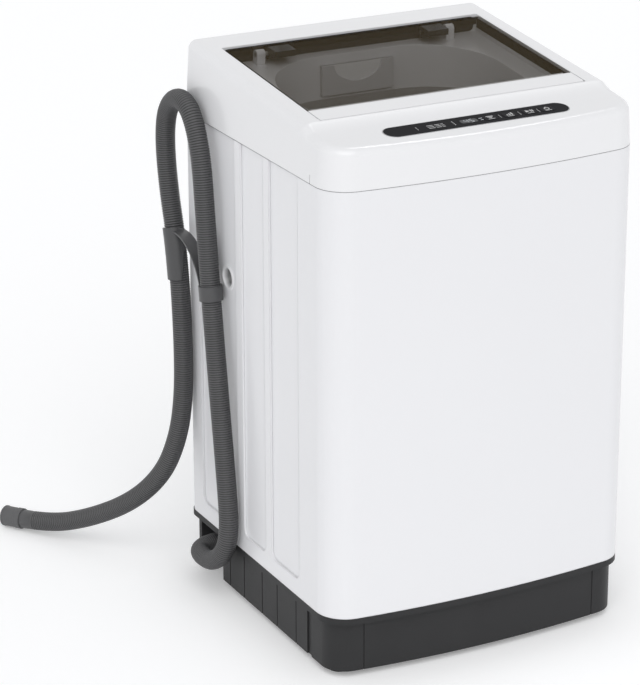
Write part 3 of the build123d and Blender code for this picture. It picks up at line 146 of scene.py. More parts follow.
world = bpy.data.worlds.new("studio")
scene.world = world
world.use_nodes = True
tree, links = world.node_tree.nodes, world.node_tree.links
plain_sky = tree["Background"]
plain_sky.inputs["Color"].default_value = SKY_COLOUR
plain_sky.inputs["Strength"].default_value = SKY_STRENGTH
white_sky = tree.new("ShaderNodeBackground")
white_sky.inputs["Color"].default_value = WHITE
rays = tree.new("ShaderNodeLightPath")
seen = rays.outputs[SEEN_RAYS[0]]
for ray in SEEN_RAYS[1:]:
    either = tree.new("ShaderNodeMath")
    either.operation = "MAXIMUM"
    links.new(seen, either.inputs[0])
    links.new(rays.outputs[ray], either.inputs[1])
    seen = either.outputs[0]
sky = tree.new("ShaderNodeMixShader")
for socket, source in enumerate((seen, plain_sky.outputs[0], white_sky.outputs[0])):
    links.new(source, sky.inputs[socket])
links.new(sky.outputs[0], tree["World Output"].inputs["Surface"])
scene.view_settings.view_transform = "Standard"
print("sky", SKY_STRENGTH, "and white to", SEEN_RAYS)

# %% Lamps
SOFT_LAMP = {"power": 1.12, "degrees": 55, "source": (-0.11, -0.23, 0.25)}
EDGE_CARD = {"power": 0.3, "degrees": 16, "source": (0.43, 0.34, 0.83)}


def far_lamp(name, power, degrees, source):
    """A lamp as far away as the sun, so many degrees wide, that shines from a direction."""
    light = bpy.data.lights.new(name, "SUN")
    light.energy = power
    light.angle = math.radians(degrees)
    lamp = put_in_scene(name, light)
    lamp.rotation_euler = Vector(source).to_track_quat("Z", "Y").to_euler()
    print(name, power, "at", [round(math.degrees(v)) for v in lamp.rotation_euler])
    return lamp


far_lamp("wide_soft_lamp", **SOFT_LAMP)
far_lamp("edge_card", **EDGE_CARD).visible_diffuse = False

# %% [markdown]
# ## The drain hose
# The grey corrugated hose leaves a bay in the base, rises beside the cabinet, turns over a hook and
# comes down to the floor behind. A curve with a round bevel would give a plain pipe, but this hose
# has ribs. So its line is one NURBS curve with the route of the CAD hose as its control points, and
# Blender turns that curve into points to roll a tube round.

# %% Hose line
HOSE_ROUTE = (
    (-0.1863, 0.158, 0.054), (-0.220, 0.158, 0.054), (-0.243, 0.151, 0.052), (-0.249, 0.128, 0.052),
    (-0.247, 0.098, 0.055), (-0.243, 0.069, 0.079), (-0.240, 0.058, 0.116), (-0.240, 0.066, 0.185),
    (-0.240, 0.086, 0.310), (-0.240, 0.106, 0.445), (-0.240, 0.120, 0.555), (-0.240, 0.127, 0.614),
    (-0.240, 0.140, 0.652), (-0.240, 0.159, 0.680), (-0.240, 0.187, 0.690), (-0.240, 0.216, 0.680),
    (-0.240, 0.237, 0.655), (-0.240, 0.243, 0.612), (-0.240, 0.233, 0.550), (-0.240, 0.214, 0.490),
    (-0.240, 0.202, 0.420), (-0.240, 0.196, 0.330), (-0.240, 0.199, 0.262), (-0.245, 0.208, 0.200),
    (-0.259, 0.230, 0.138), (-0.288, 0.276, 0.083), (-0.330, 0.340, 0.041), (-0.368, 0.396, 0.019),
    (-0.396, 0.440, 0.0164),
)
CURVE_STEPS = 40


def line_points(name, route):
    """Points along the NURBS curve that has the route as its control points."""
    curve = bpy.data.curves.new(name, "CURVE")
    curve.dimensions = "3D"
    spline = curve.splines.new("NURBS")
    spline.points.add(len(route) - 1)
    for point, place in zip(spline.points, route):
        point.co = (*place, 1)
    spline.order_u = 3
    spline.use_endpoint_u = True
    spline.resolution_u = CURVE_STEPS
    holder = put_in_scene(name, curve)
    seen_now = holder.evaluated_get(bpy.context.evaluated_depsgraph_get())
    mesh = bpy.data.meshes.new_from_object(seen_now)
    points = [vertex.co.copy() for vertex in mesh.vertices]
    bpy.data.objects.remove(holder)
    bpy.data.curves.remove(curve)
    bpy.data.meshes.remove(mesh)
    return points


def run_length(points):
    """Length of a line of points."""
    return sum((b - a).length for a, b in zip(points, points[1:]))


hose_points = line_points("hose_line", HOSE_ROUTE)
hose_length = run_length(hose_points)
print("hose points", len(hose_points), "length", round(hose_length, 3))

# %% [markdown]
# The tube starts as one flat grid. Each row of the grid is a ring with a distance along the line and
# a radius, and the radii follow the wave of the ribs. The last rows go back along the bore, which
# gives the hose its wall. Every ring notes how near it is to a crest, and the finish reads that to
# paint shade into the valleys.

# %% Hose tube
HOSE_RADIUS = 0.0135
HOSE_VALLEY = 0.0121
HOSE_BORE = 0.0100
HOSE_SIDES = 20
RIB_PITCH = 0.0033
RIB_WAVE = ((0.0, 0.0), (0.2, 0.8), (0.34, 1.0), (0.66, 1.0), (0.8, 0.8))
BORE_STEP = 0.012
SEAM_MERGE = 1e-6


def shade_smooth(mesh, smooth=True):
    """Sets smooth or flat shading on every face."""
    mesh.polygons.foreach_set("use_smooth", [smooth] * len(mesh.polygons))


def stations(points, distances):
    """Places and steady cross directions at distances along a line of points."""
    places = []
    walked, index = 0.0, 0
    side = Vector((0, 1, 0))
    for distance in distances:
        run = points[index + 1] - points[index]
        while index < len(points) - 2 and walked + run.length < distance:
            walked += run.length
            index += 1
            run = points[index + 1] - points[index]
        ahead = run.normalized()
        if 0 < index:
            ahead = (ahead + (points[index] - points[index - 1]).normalized()).normalized()
        side = (side - ahead * side.dot(ahead)).normalized()
        place = points[index] + run.normalized() * (distance - walked)
        places.append((place, side.copy(), ahead.cross(side)))
    return places


def rolled_tube(name, points, rings, sides):
    """A closed tube: a grid whose rows are rings of distance and radius, rolled round a line."""
    bm = bmesh.new()
    bmesh.ops.create_grid(bm, x_segments=len(rings) - 1, y_segments=sides, size=0.5)
    order = sorted(range(len(rings)), key=lambda row: rings[row][0])
    frames = dict(zip(order, stations(points, [rings[row][0] for row in order])))
    crest = bm.verts.layers.float.new("crest")
    low, high = min(radius for _, radius in rings), max(radius for _, radius in rings)
    for vertex in bm.verts:
        row = round((vertex.co.x + 0.5) * (len(rings) - 1))
        turn = (vertex.co.y + 0.5) * 2 * math.pi
        place, side, cross = frames[row]
        radius = rings[row][1]
        vertex.co = place + (side * math.cos(turn) + cross * math.sin(turn)) * radius
        vertex[crest] = (radius - low) / (high - low)
    bmesh.ops.remove_doubles(bm, verts=bm.verts, dist=SEAM_MERGE)
    bmesh.ops.recalc_face_normals(bm, faces=bm.faces)
    mesh = bpy.data.meshes.new(name)
    bm.to_mesh(mesh)
    bm.free()
    shade_smooth(mesh)
    return put_in_scene(name, mesh)


def ribbed_rings(length, plain, pitch, valley, crest, bore, bore_step):
    """Rings of a ribbed tube: plain ends, waves between them, and back along the bore."""
    count = int((length - 2 * plain) / pitch)
    rings = [(0.0, bore), (0.0, crest), (plain - pitch, crest)]
    for rib in range(count):
        for share, rise in RIB_WAVE:
            rings.append((plain + (rib + share) * pitch, valley + (crest - valley) * rise))
    rings += [(length - plain / 2, crest), (length, crest), (length, bore)]
    steps = int(length / bore_step)
    return rings + [(length * (1 - step / steps), bore) for step in range(1, steps + 1)]


hose_rings = ribbed_rings(
    hose_length, plain=2 * HOSE_RADIUS, pitch=RIB_PITCH, valley=HOSE_VALLEY, crest=HOSE_RADIUS,
    bore=HOSE_BORE, bore_step=BORE_STEP,
)
hose = rolled_tube("hose_tube", hose_points, hose_rings, HOSE_SIDES)
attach(hose, "frame")
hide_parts("drain_hose")
print("hose rings", len(hose_rings), "faces", len(hose.data.polygons))

# %% [markdown]
# ## Finishes
# Plain plastic isn't one flat colour: a moulded skin has a fine grain that breaks up the gloss and
# slow clouds where the polymer cooled. One node group makes both from noise, and each material
# places it with its own scales. The group only puts out values; the shader stays in the material.

# %% Skin group
GRAIN_DETAIL, CLOUD_DETAIL = 2, 4


def new_group(name, inputs, outputs):
    """An empty node group with named sockets, and its two end nodes."""
    group = bpy.data.node_groups.new(name, "ShaderNodeTree")
    for side, sockets in (("INPUT", inputs), ("OUTPUT", outputs)):
        for socket, kind in sockets:
            group.interface.new_socket(socket, in_out=side, socket_type="NodeSocket" + kind)
    return group, group.nodes.new("NodeGroupInput"), group.nodes.new("NodeGroupOutput")


moulded_skin, start, end = new_group(
    "moulded_skin", (("Vector", "Vector"), ("Grain Scale", "Float"), ("Cloud Scale", "Float")),
    (("Height", "Float"), ("Cloud", "Float")),
)
for scale, output, detail in (
    ("Grain Scale", "Height", GRAIN_DETAIL), ("Cloud Scale", "Cloud", CLOUD_DETAIL),
):
    noise = moulded_skin.nodes.new("ShaderNodeTexNoise")
    noise.inputs["Detail"].default_value = detail
    moulded_skin.links.new(start.outputs["Vector"], noise.inputs["Vector"])
    moulded_skin.links.new(start.outputs[scale], noise.inputs["Scale"])
    moulded_skin.links.new(noise.outputs["Fac"], end.inputs[output])
print("group", moulded_skin.name, [item.name for item in moulded_skin.interface.items_tree])


# %% One material from two colours, two roughnesses and the skin
ENAMEL_COAT = {"Coat Weight": 0.25, "Coat Roughness": 0.12}


def skin_material(
    name, dark, light, smooth, rough, grain=900, cloud=14, bump=0.1, depth=0.0002, stretch=None,
):
    """A material whose colour and roughness drift with the cloud and whose bump is the grain."""
    material = bpy.data.materials.new(name)
    material.use_nodes = True
    tree, links = material.node_tree.nodes, material.node_tree.links
    shader = shader_of(material)
    place = tree.new("ShaderNodeTexCoord")
    skin = tree.new("ShaderNodeGroup")
    skin.node_tree = moulded_skin
    skin.inputs["Grain Scale"].default_value = grain
    skin.inputs["Cloud Scale"].default_value = cloud
    source = place.outputs["Object"]
    if stretch:
        brushed = tree.new("ShaderNodeMapping")
        brushed.inputs["Scale"].default_value = stretch
        links.new(source, brushed.inputs["Vector"])
        source = brushed.outputs["Vector"]
    links.new(source, skin.inputs["Vector"])
    tint = tree.new("ShaderNodeMix")
    tint.data_type = "RGBA"
    tint.inputs["A"].default_value = (*dark, 1)
    tint.inputs["B"].default_value = (*light, 1)
    links.new(skin.outputs["Cloud"], tint.inputs["Factor"])
    links.new(tint.outputs["Result"], shader.inputs["Base Color"])
    gloss = tree.new("ShaderNodeMapRange")
    gloss.inputs["To Min"].default_value = smooth
    gloss.inputs["To Max"].default_value = rough
    links.new(skin.outputs["Cloud"], gloss.inputs["Value"])
    links.new(gloss.outputs["Result"], shader.inputs["Roughness"])
    relief = tree.new("ShaderNodeBump")
    relief.inputs["Strength"].default_value = bump
    relief.inputs["Distance"].default_value = depth
    links.new(skin.outputs["Height"], relief.inputs["Height"])
    links.new(relief.outputs["Normal"], shader.inputs["Normal"])
    return material


def grey(shade, blue=0.0):
    """A neutral colour, with a little more blue where asked."""
    return (shade, shade, shade + blue)


enamel = skin_material(
    "white_enamel", grey(0.812, 0.016), grey(0.822, 0.016), smooth=0.26, rough=0.32,
    grain=260, cloud=5, bump=0.03,
)
tune(enamel, ENAMEL_COAT)
print("first finish", enamel.name, "with", len(enamel.node_tree.nodes), "nodes")

# %% White, grey and black plastics
PLASTIC_COAT = {"Coat Weight": 0.5, "Coat Roughness": 0.1}
PANEL_GLOSS, KEY_GLOSS, BASE_GLOSS = 0.012, 0.015, 0.25

white_plastic = skin_material(
    "white_plastic", grey(0.825, 0.010), grey(0.835, 0.010), smooth=0.26, rough=0.32,
    grain=700, cloud=8, bump=0.03,
)
pale_plastic = skin_material(
    "pale_plastic", grey(0.66, 0.01), grey(0.72, 0.01), smooth=0.38, rough=0.5, bump=0.12,
)
base_plastic = skin_material(
    "charcoal_plastic", grey(0.022, 0.001), grey(0.030, 0.001), smooth=0.42, rough=0.56,
    grain=1500, cloud=20, bump=0.35,
)
panel_plastic = skin_material(
    "panel_plastic", grey(0.014, 0.002), grey(0.019, 0.002), smooth=0.2, rough=0.28,
    cloud=30, bump=0.03,
)
key_plastic = skin_material(
    "key_plastic", grey(0.018, 0.002), grey(0.024, 0.002), smooth=0.3, rough=0.38,
    cloud=40, bump=0.08,
)
black_plastic = skin_material(
    "black_plastic", grey(0.010), grey(0.018), smooth=0.35, rough=0.5, bump=0.2,
)
hook_plastic = skin_material(
    "hook_plastic", grey(0.062, 0.002), grey(0.075, 0.002), smooth=0.32, rough=0.42,
    cloud=30, bump=0.1,
)
board_green = skin_material(
    "board_green", (0.015, 0.10, 0.045), (0.02, 0.14, 0.06), smooth=0.35, rough=0.5,
    grain=400, cloud=60, bump=0.2,
)
tune(white_plastic, PLASTIC_COAT)
for finish, gloss in (
    (panel_plastic, PANEL_GLOSS), (key_plastic, KEY_GLOSS), (base_plastic, BASE_GLOSS),
):
    tune(finish, {"Specular IOR Level": gloss})
print("materials", len(bpy.data.materials))

# %% Rubbers
foot_rubber = skin_material(
    "foot_rubber", grey(0.012), grey(0.022), smooth=0.6, rough=0.8, bump=0.3,
)
hose_rubber = skin_material(
    "hose_rubber", grey(0.070, 0.002), grey(0.092, 0.003), smooth=0.42, rough=0.55,
    grain=1200, cloud=25, bump=0.2,
)
cuff_rubber = skin_material(
    "cuff_rubber", grey(0.085, 0.002), grey(0.105, 0.003), smooth=0.45, rough=0.6,
    cloud=30, bump=0.2,
)
belt_rubber = skin_material(
    "belt_rubber", grey(0.015), grey(0.03), smooth=0.6, rough=0.8, bump=0.4,
)
print("rubbers", foot_rubber.name, hose_rubber.name, cuff_rubber.name, belt_rubber.name)

# %% [markdown]
# Shade is painted where a surface lies deep: in the valleys of the hose, in the cup that closes the
# transit hole and on the skirts of the lid. A value says how deep the surface is there, an attribute
# or a distance along a direction, and a second node group darkens the colour by it.

# %% Deep shade group
deep_shade, start, end = new_group(
    "deep_shade",
    (("Color", "Color"), *((name, "Float") for name in ("Depth", "Start", "End", "Low", "High"))),
    (("Color", "Color"),),
)
share = deep_shade.nodes.new("ShaderNodeMapRange")
for socket, source in (
    ("Value", "Depth"), ("From Min", "Start"), ("From Max", "End"),
    ("To Min", "Low"), ("To Max", "High"),
):
    deep_shade.links.new(start.outputs[source], share.inputs[socket])
darken = deep_shade.nodes.new("ShaderNodeMix")
darken.data_type = "RGBA"
darken.blend_type = "MULTIPLY"
darken.inputs["Factor"].default_value = 1
deep_shade.links.new(start.outputs["Color"], darken.inputs["A"])
deep_shade.links.new(share.outputs["Result"], darken.inputs["B"])
deep_shade.links.new(darken.outputs["Result"], end.inputs["Color"])
print("group", deep_shade.name, [item.name for item in deep_shade.interface.items_tree])

# %% Dark valleys and a deep cup
VALLEY_SHADE, VALLEY_EDGE = 0.08, 0.7
CUP_RIM, CUP_FLOOR, CUP_SHADE = -0.2222, -0.2165, 0.2
ACROSS = (1, 0, 0)


def shade_deep(material, depth, **settings):
    """Places the deep shade between a finish's colour and its shader."""
    tree, links = material.node_tree.nodes, material.node_tree.links
    colour = shader_of(material).inputs["Base Color"]
    shade = tree.new("ShaderNodeGroup")
    shade.node_tree = deep_shade
    for socket, value in settings.items():
        shade.inputs[socket].default_value = value
    links.new(colour.links[0].from_socket, shade.inputs["Color"])
    links.new(depth, shade.inputs["Depth"])
    links.new(shade.outputs["Color"], colour)


def distance_along(material, direction):
    """How far each point lies along a direction."""
    tree, links = material.node_tree.nodes, material.node_tree.links
    place = tree.new("ShaderNodeTexCoord")
    along = tree.new("ShaderNodeVectorMath")
    along.operation = "DOT_PRODUCT"
    along.inputs[1].default_value = direction
    links.new(place.outputs["Object"], along.inputs[0])
    return along.outputs["Value"]


# Painted shade: the hose's colour darkens in the valleys between its ribs.
ribs = hose_rubber.node_tree.nodes.new("ShaderNodeAttribute")
ribs.attribute_name = "crest"
shade_deep(
    hose_rubber, ribs.outputs["Fac"], Start=VALLEY_EDGE, End=1.0, Low=VALLEY_SHADE, High=1.0,
)
# Painted shade: the transit cup's colour darkens towards its floor, where the hole lies unlit.
cup_plastic = skin_material(
    "cup_plastic", grey(0.80, 0.01), grey(0.82, 0.01), smooth=0.3, rough=0.4,
    grain=700, cloud=8, bump=0.03,
)
shade_deep(
    cup_plastic, distance_along(cup_plastic, ACROSS),
    Start=CUP_RIM, End=CUP_FLOOR, Low=1.0, High=CUP_SHADE,
)
print("hose valleys at", VALLEY_SHADE, "and cup floor at", CUP_SHADE, "of the colour")

# %% [markdown]
# Pressed steel and moulded plastic have no knife edges: every corner is a small round that catches a
# line of light. Cycles can give that roundness to the normals alone, with a Bevel node under the
# grain, so the CAD mesh needs no more faces for it.

# %% Round the corners of the white pieces
ENAMEL_ROUND, PLASTIC_ROUND, ROUND_SAMPLES = 0.0025, 0.0018, 6


def round_corners(material, radius):
    """Feeds rounded normals into the bump of a finish."""
    relief = shader_of(material).inputs["Normal"].links[0].from_node
    corner = material.node_tree.nodes.new("ShaderNodeBevel")
    corner.samples = ROUND_SAMPLES
    corner.inputs["Radius"].default_value = radius
    material.node_tree.links.new(corner.outputs["Normal"], relief.inputs["Normal"])


round_corners(enamel, ENAMEL_ROUND)
round_corners(white_plastic, PLASTIC_ROUND)
print("rounded", enamel.name, white_plastic.name)

# %% [markdown]
# The metals are inside and behind. The basket's steel is brushed upwards, so its clouds are stretched
# along Z. Zinc plate has small bright clouds, and the cast parts have a coarse grain. The motor and
# the rear sheet are painted, so they aren't metallic at all.

# %% Metals and paints
METAL = {"Metallic": 1.0}

steel = skin_material(
    "basket_steel", grey(0.50, 0.01), grey(0.62, 0.01), smooth=0.24, rough=0.38,
    grain=300, cloud=160, bump=0.06, stretch=(1, 1, 0.02),
)
zinc = skin_material(
    "zinc_plate", grey(0.50, -0.02), grey(0.62, -0.02), smooth=0.3, rough=0.45,
    cloud=60, bump=0.15,
)
cast_metal = skin_material(
    "cast_metal", grey(0.42, 0.01), grey(0.54, 0.01), smooth=0.45, rough=0.62,
    grain=350, cloud=30, bump=0.5, depth=0.0006,
)
for finish in (steel, zinc, cast_metal):
    tune(finish, METAL)
motor_paint_and_seam_shade = skin_material(
    "motor_paint_and_seam_shade", grey(0.03, 0.003), grey(0.045, 0.005), smooth=0.4, rough=0.55,
    grain=500, cloud=25, bump=0.3,
)
grey_sheet = skin_material(
    "grey_sheet", (0.58, 0.59, 0.60), (0.64, 0.65, 0.66), smooth=0.3, rough=0.42,
    grain=260, cloud=6, bump=0.06,
)
print("metals", steel.name, zinc.name, cast_metal.name)

# %% [markdown]
# The lid is smoke brown see-through plastic. Each face of the plate takes a third of the light, but
# the skirts and the rolled rear edge stand on end to the eye and read almost black. So the alpha and
# the shade follow the depth below the lid's sloping plane, which a dot product of the position gives.

# %% Tinted lid
LID_PLANE_HEIGHT = 0.743
LID_PLANE_SLOPE = 0.092
PLATE_DEPTH = 0.0027
SKIRT_BLEND = 0.0006
PLATE_ALPHA, SKIRT_ALPHA, SKIRT_SHADE = 0.31, 0.95, 0.15
LID_GLOSS = 0.015

tinted_plastic = skin_material(
    "tinted_plastic", (0.053, 0.035, 0.010), (0.059, 0.040, 0.014), smooth=0.05, rough=0.09,
    cloud=6, bump=0.01,
)
tune(tinted_plastic, {"Specular IOR Level": LID_GLOSS})
below = distance_along(tinted_plastic, (0, LID_PLANE_SLOPE, -1))
skirt_start = PLATE_DEPTH - LID_PLANE_HEIGHT
skirt_end = skirt_start + SKIRT_BLEND
veil = tinted_plastic.node_tree.nodes.new("ShaderNodeMapRange")
for socket, value in (
    ("From Min", skirt_start), ("From Max", skirt_end),
    ("To Min", PLATE_ALPHA), ("To Max", SKIRT_ALPHA),
):
    veil.inputs[socket].default_value = value
links = tinted_plastic.node_tree.links
links.new(below, veil.inputs["Value"])
links.new(veil.outputs["Result"], shader_of(tinted_plastic).inputs["Alpha"])
shade_deep(tinted_plastic, below, Start=skirt_start, End=skirt_end, Low=1.0, High=SKIRT_SHADE)
print("lid plate alpha", PLATE_ALPHA, "skirts", SKIRT_ALPHA, "at", SKIRT_SHADE, "of the colour")

# %% [markdown]
# ## Dressing the CAD nodes
# A CAD mesh arrives as loose triangles, so its shading shows every facet. The mesh itself is never
# changed, but modifiers may finish it: a weld joins the triangles. Pieces in view then get a narrow
# bevel, as a mould gives, with normals weighted so that flat faces stay flat. On the others an edge
# split keeps the corners crisp.

# %% Finish of every slot
SLOT_FINISH = {
    "white_enamel": enamel, "grey_sheet": grey_sheet, "white_plastic": white_plastic,
    "pale_plastic": pale_plastic, "base_plastic": base_plastic, "foot_rubber": foot_rubber,
    "tinted_plastic": tinted_plastic, "panel_plastic": panel_plastic, "key_plastic": key_plastic,
    "black_plastic": black_plastic, "board_green": board_green, "steel": steel,
    "zinc_steel": zinc, "cast_metal": cast_metal, "motor_iron": motor_paint_and_seam_shade,
    "hose_rubber": hose_rubber, "cuff_rubber": cuff_rubber, "hook_plastic": hook_plastic,
    "belt_rubber": belt_rubber,
}
ROUNDED = {
    "base": 0.0008, "lid_front_strip": 0.0014, "lid_window": 0.0006, "control_strip": 0.0003,
    "transit_plug": 0.0003, "key_program": 0.0004, "key_water_level": 0.0004,
    "key_start_pause": 0.0004, "key_power": 0.0004, "detergent_drawer": 0.0008,
    "hose_hook": 0.0006, "lid_hinge_blocks": 0.0008, "rear_cover_screws": 0.0006,
    "top_cover": 0.0006, "cabinet": 0.0004,
}
SPLIT_ANGLE = math.radians(32)
WELD_DISTANCE = 0.00001
CORNER_STEPS = 2
FLAT_WEIGHT = 100


def crisp(piece):
    """Splits the shading at the sharp edges of a smooth piece."""
    split = piece.modifiers.new("crisp_corners", "EDGE_SPLIT")
    split.split_angle = SPLIT_ANGLE
    return piece


def dress(node, finish, bevel=0.0):
    """Gives a CAD node its finish and the modifiers that smooth its shading."""
    node.data.materials.clear()
    node.data.materials.append(finish)
    shade_smooth(node.data)
    weld = node.modifiers.new("join_triangles", "WELD")
    weld.merge_threshold = WELD_DISTANCE
    if bevel:
        rounded = node.modifiers.new("soft_corners", "BEVEL")
        rounded.width = bevel
        rounded.segments = CORNER_STEPS
        rounded.limit_method = "ANGLE"
        rounded.angle_limit = SPLIT_ANGLE
        flat = node.modifiers.new("flat_faces", "WEIGHTED_NORMAL")
        flat.weight = FLAT_WEIGHT
    else:
        crisp(node)


slot_of = {row["node"]: row["material_slot"] for row in frame["record"]["subparts"]}
for name, node in nodes.items():
    dress(node, SLOT_FINISH[slot_of[name]], ROUNDED.get(name, 0.0))
nodes["transit_plug"].data.materials[0] = cup_plastic
hose.data.materials.append(hose_rubber)
print("dressed", len(nodes))

# %% [markdown]
# ## The cuff on the hose's end
# The free end carries a soft plain cuff that is pushed over a drain pipe. It was turned in one piece
# in the mould, so a profile is drawn once and spun about the hose's axis: a bead at the mouth, a
# body, and a collar that grips the hose. A bmesh keeps its old normals when it is moved, so a closed
# shell has them updated before its faces are turned outwards. An open one stays as it was drawn.

# %% Cuff
CUFF_OVERLAP = 0.008
CUFF_STEPS = 48
CUFF_PROFILE = (
    (0.0110, 0.0080), (0.0110, 0.0312), (0.0118, 0.0320), (0.0141, 0.0320), (0.0150, 0.0312),
    (0.0150, 0.0290), (0.0144, 0.0284), (0.0144, 0.0096), (0.0150, 0.0088), (0.0150, 0.0008),
    (0.0143, 0.0), (0.0136, 0.0), (0.0136, 0.0080),
)


def finished(bm, name, finish, smooth=True):
    """Turns a bmesh into a named piece with a finish, in the row frame."""
    if all(edge.is_manifold for edge in bm.edges):
        bm.normal_update()
        bmesh.ops.recalc_face_normals(bm, faces=bm.faces)
    mesh = bpy.data.meshes.new(name)
    bm.to_mesh(mesh)
    bm.free()
    shade_smooth(mesh, smooth)
    mesh.materials.append(finish)
    piece = put_in_scene(name, mesh)
    return piece


bm = bmesh.new()
corners = [bm.verts.new((radius, 0, height)) for radius, height in CUFF_PROFILE]
outline = [bm.edges.new((a, b)) for a, b in zip(corners, corners[1:] + corners[:1])]
bmesh.ops.spin(
    bm, geom=corners + outline, cent=(0, 0, 0), axis=(0, 0, 1), dvec=(0, 0, 0),
    angle=2 * math.pi, steps=CUFF_STEPS, use_merge=True, use_duplicate=False,
)
hose_tip = Vector(HOSE_ROUTE[-1])
tip_ahead = (hose_tip - Vector(HOSE_ROUTE[-2])).normalized()
cuff_turn = tip_ahead.to_track_quat("Z", "Y").to_matrix().to_4x4()
bm.transform(Matrix.Translation(hose_tip - tip_ahead * CUFF_OVERLAP) @ cuff_turn)
cuff = crisp(finished(bm, "hose_cuff", cuff_rubber))
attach(cuff, "frame")
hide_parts("hose_end_cuff")
print("cuff faces", len(cuff.data.polygons))

# %% [markdown]
# ## Springs under the tub
# Four rods hang from the cabinet's corners and the tub sits on them through coil springs. The wire's
# round section is spun with a rise at each step, which is how a spring is wound. The foot of each
# spring stays with the cabinet and its top moves with the tub.

# %% Springs
SPRING_SPOTS = ((-0.178, -0.155), (0.178, -0.155), (-0.178, 0.155), (0.178, 0.155))
SPRING_FOOT, SPRING_TOP = 0.230, 0.290
COIL_RADIUS, WIRE_RADIUS, WIRE_SIDES = 0.01115, 0.0013, 10
COIL_TURNS, TURN_STEPS = 7.5, 28
QUARTER_TURN = math.pi / 2

bm = bmesh.new()
coil_rise = SPRING_TOP - SPRING_FOOT - 2 * WIRE_RADIUS
coil_steps = int(COIL_TURNS * TURN_STEPS)
on_edge = Matrix.Rotation(QUARTER_TURN, 3, "X")
for x, y in SPRING_SPOTS:
    ring = bmesh.ops.create_circle(
        bm, cap_ends=True, radius=WIRE_RADIUS, segments=WIRE_SIDES,
    )["verts"]
    bmesh.ops.rotate(bm, verts=ring, cent=(0, 0, 0), matrix=on_edge)
    bmesh.ops.translate(bm, verts=ring, vec=(x + COIL_RADIUS, y, SPRING_FOOT + WIRE_RADIUS))
    bmesh.ops.spin(
        bm, geom=[ring[0].link_faces[0]], cent=(x, y, 0), axis=(0, 0, 1),
        dvec=(0, 0, coil_rise / coil_steps), angle=2 * math.pi * COIL_TURNS, steps=coil_steps,
        use_merge=False, use_duplicate=False,
    )
springs = finished(bm, "coil_springs", zinc)
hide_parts("suspension_springs")
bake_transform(springs)
print("spring faces", len(springs.data.polygons))

# %% [markdown]
# ## Soft tubes inside
# A ribbed rubber bellows takes the drain water from the moving tub to the still outlet, and a thin
# tube joins the tub's air trap to the level sensor. Both are rolled like the hose, and one end of
# each floats with the tub.

# %% Bellows
BELLOWS_ROUTE = (
    (-0.11984, 0.09241, 0.168), (-0.1459, 0.13497, 0.168), (-0.160, 0.158, 0.168),
    (-0.160, 0.158, 0.141), (-0.160, 0.158, 0.110),
)
BELLOWS_SIDES = 24

bellows_points = line_points("bellows_line", BELLOWS_ROUTE)
bellows_length = run_length(bellows_points)
bellows_rings = ribbed_rings(
    bellows_length, plain=0.016, pitch=0.0065, valley=0.0120, crest=0.0135, bore=0.0112,
    bore_step=0.006,
)
bellows = rolled_tube("ribbed_bellows", bellows_points, bellows_rings, BELLOWS_SIDES)
bellows.data.materials.append(hose_rubber)
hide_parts("drain_bellows")
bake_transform(bellows)
print("bellows", round(bellows_length, 3))

# %% Air tube
AIR_ROUTE = (
    (0.150, 0.197, 0.6677), (0.150, 0.197, 0.6377), (0.150, 0.197, 0.6177),
    (0.14096, 0.19525, 0.59995), (0.08264, 0.18394, 0.48545), (0.0736, 0.18219, 0.4677),
    (0.0736, 0.18219, 0.4477), (0.0736, 0.18219, 0.300),
)
AIR_RADIUS, AIR_BORE = 0.0035, 0.0023
AIR_STEPS, AIR_SIDES = 60, 14

air_points = line_points("pressure_line", AIR_ROUTE)
air_length = run_length(air_points)
air_rings = [(0.0, AIR_BORE)]
air_rings += [(air_length * step / AIR_STEPS, AIR_RADIUS) for step in range(AIR_STEPS + 1)]
air_rings += [(air_length * (1 - step / AIR_STEPS), AIR_BORE) for step in range(AIR_STEPS + 1)]
air_tube = rolled_tube("air_tube", air_points, air_rings, AIR_SIDES)
air_tube.data.materials.append(black_plastic)
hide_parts("pressure_tube")
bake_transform(air_tube)
print("air tube", round(air_length, 3))

# %% [markdown]
# ## Printing on the control strip
# The strip carries a thin bright outline, small lamps, dividers and plain symbols. They are printed,
# so they are flat shapes a tenth of a millimetre high. Each shape is drawn flat in the strip's own
# plane, thickened once, and then laid on the console by one matrix.

# %% Print helpers
STRIP_SLOPE = math.atan(0.12)
STRIP_PLACE = Matrix.Translation((0, -0.174, 0.72056)) @ Matrix.Rotation(STRIP_SLOPE, 4, "X")
PRINT_HEIGHT = 0.00012
BAR_CORNER, BAR_CORNER_STEPS = 0.3, 3

ink = skin_material(
    "pale_ink", grey(0.55), grey(0.62), smooth=0.4, rough=0.55, cloud=200, bump=0.05,
)
bright_line = skin_material(
    "bright_line", grey(0.50, 0.01), grey(0.58, 0.01), smooth=0.25, rough=0.35, cloud=80, bump=0.03,
)


def flat_sheet(bm, width, height):
    """One flat rectangle round the origin, as its four corners."""
    corners = bmesh.ops.create_grid(bm, x_segments=1, y_segments=1, size=0.5)["verts"]
    bmesh.ops.scale(bm, verts=corners, vec=(width, height, 1))
    return corners


def rounded_corners(bm, corners, radius, steps):
    """Rounds the corners of a flat shape."""
    bmesh.ops.bevel(
        bm, geom=corners, offset=radius, affect="VERTICES", segments=steps, profile=0.5,
        material=-1, offset_type="OFFSET",
    )


def flat_bar(bm, u, v, width, height, level=0.0):
    """A flat bar with rounded corners, centred in the strip's plane."""
    corners = flat_sheet(bm, width, height)
    bmesh.ops.translate(bm, verts=corners, vec=(u, v, level))
    rounded_corners(bm, corners, BAR_CORNER * min(width, height), BAR_CORNER_STEPS)


def open_middle(bm, face, width):
    """Insets a flat face and takes its middle out, so a rim is left."""
    bmesh.ops.inset_individual(bm, faces=[face], thickness=width, use_even_offset=True)
    bmesh.ops.delete(bm, geom=[face], context="FACES")


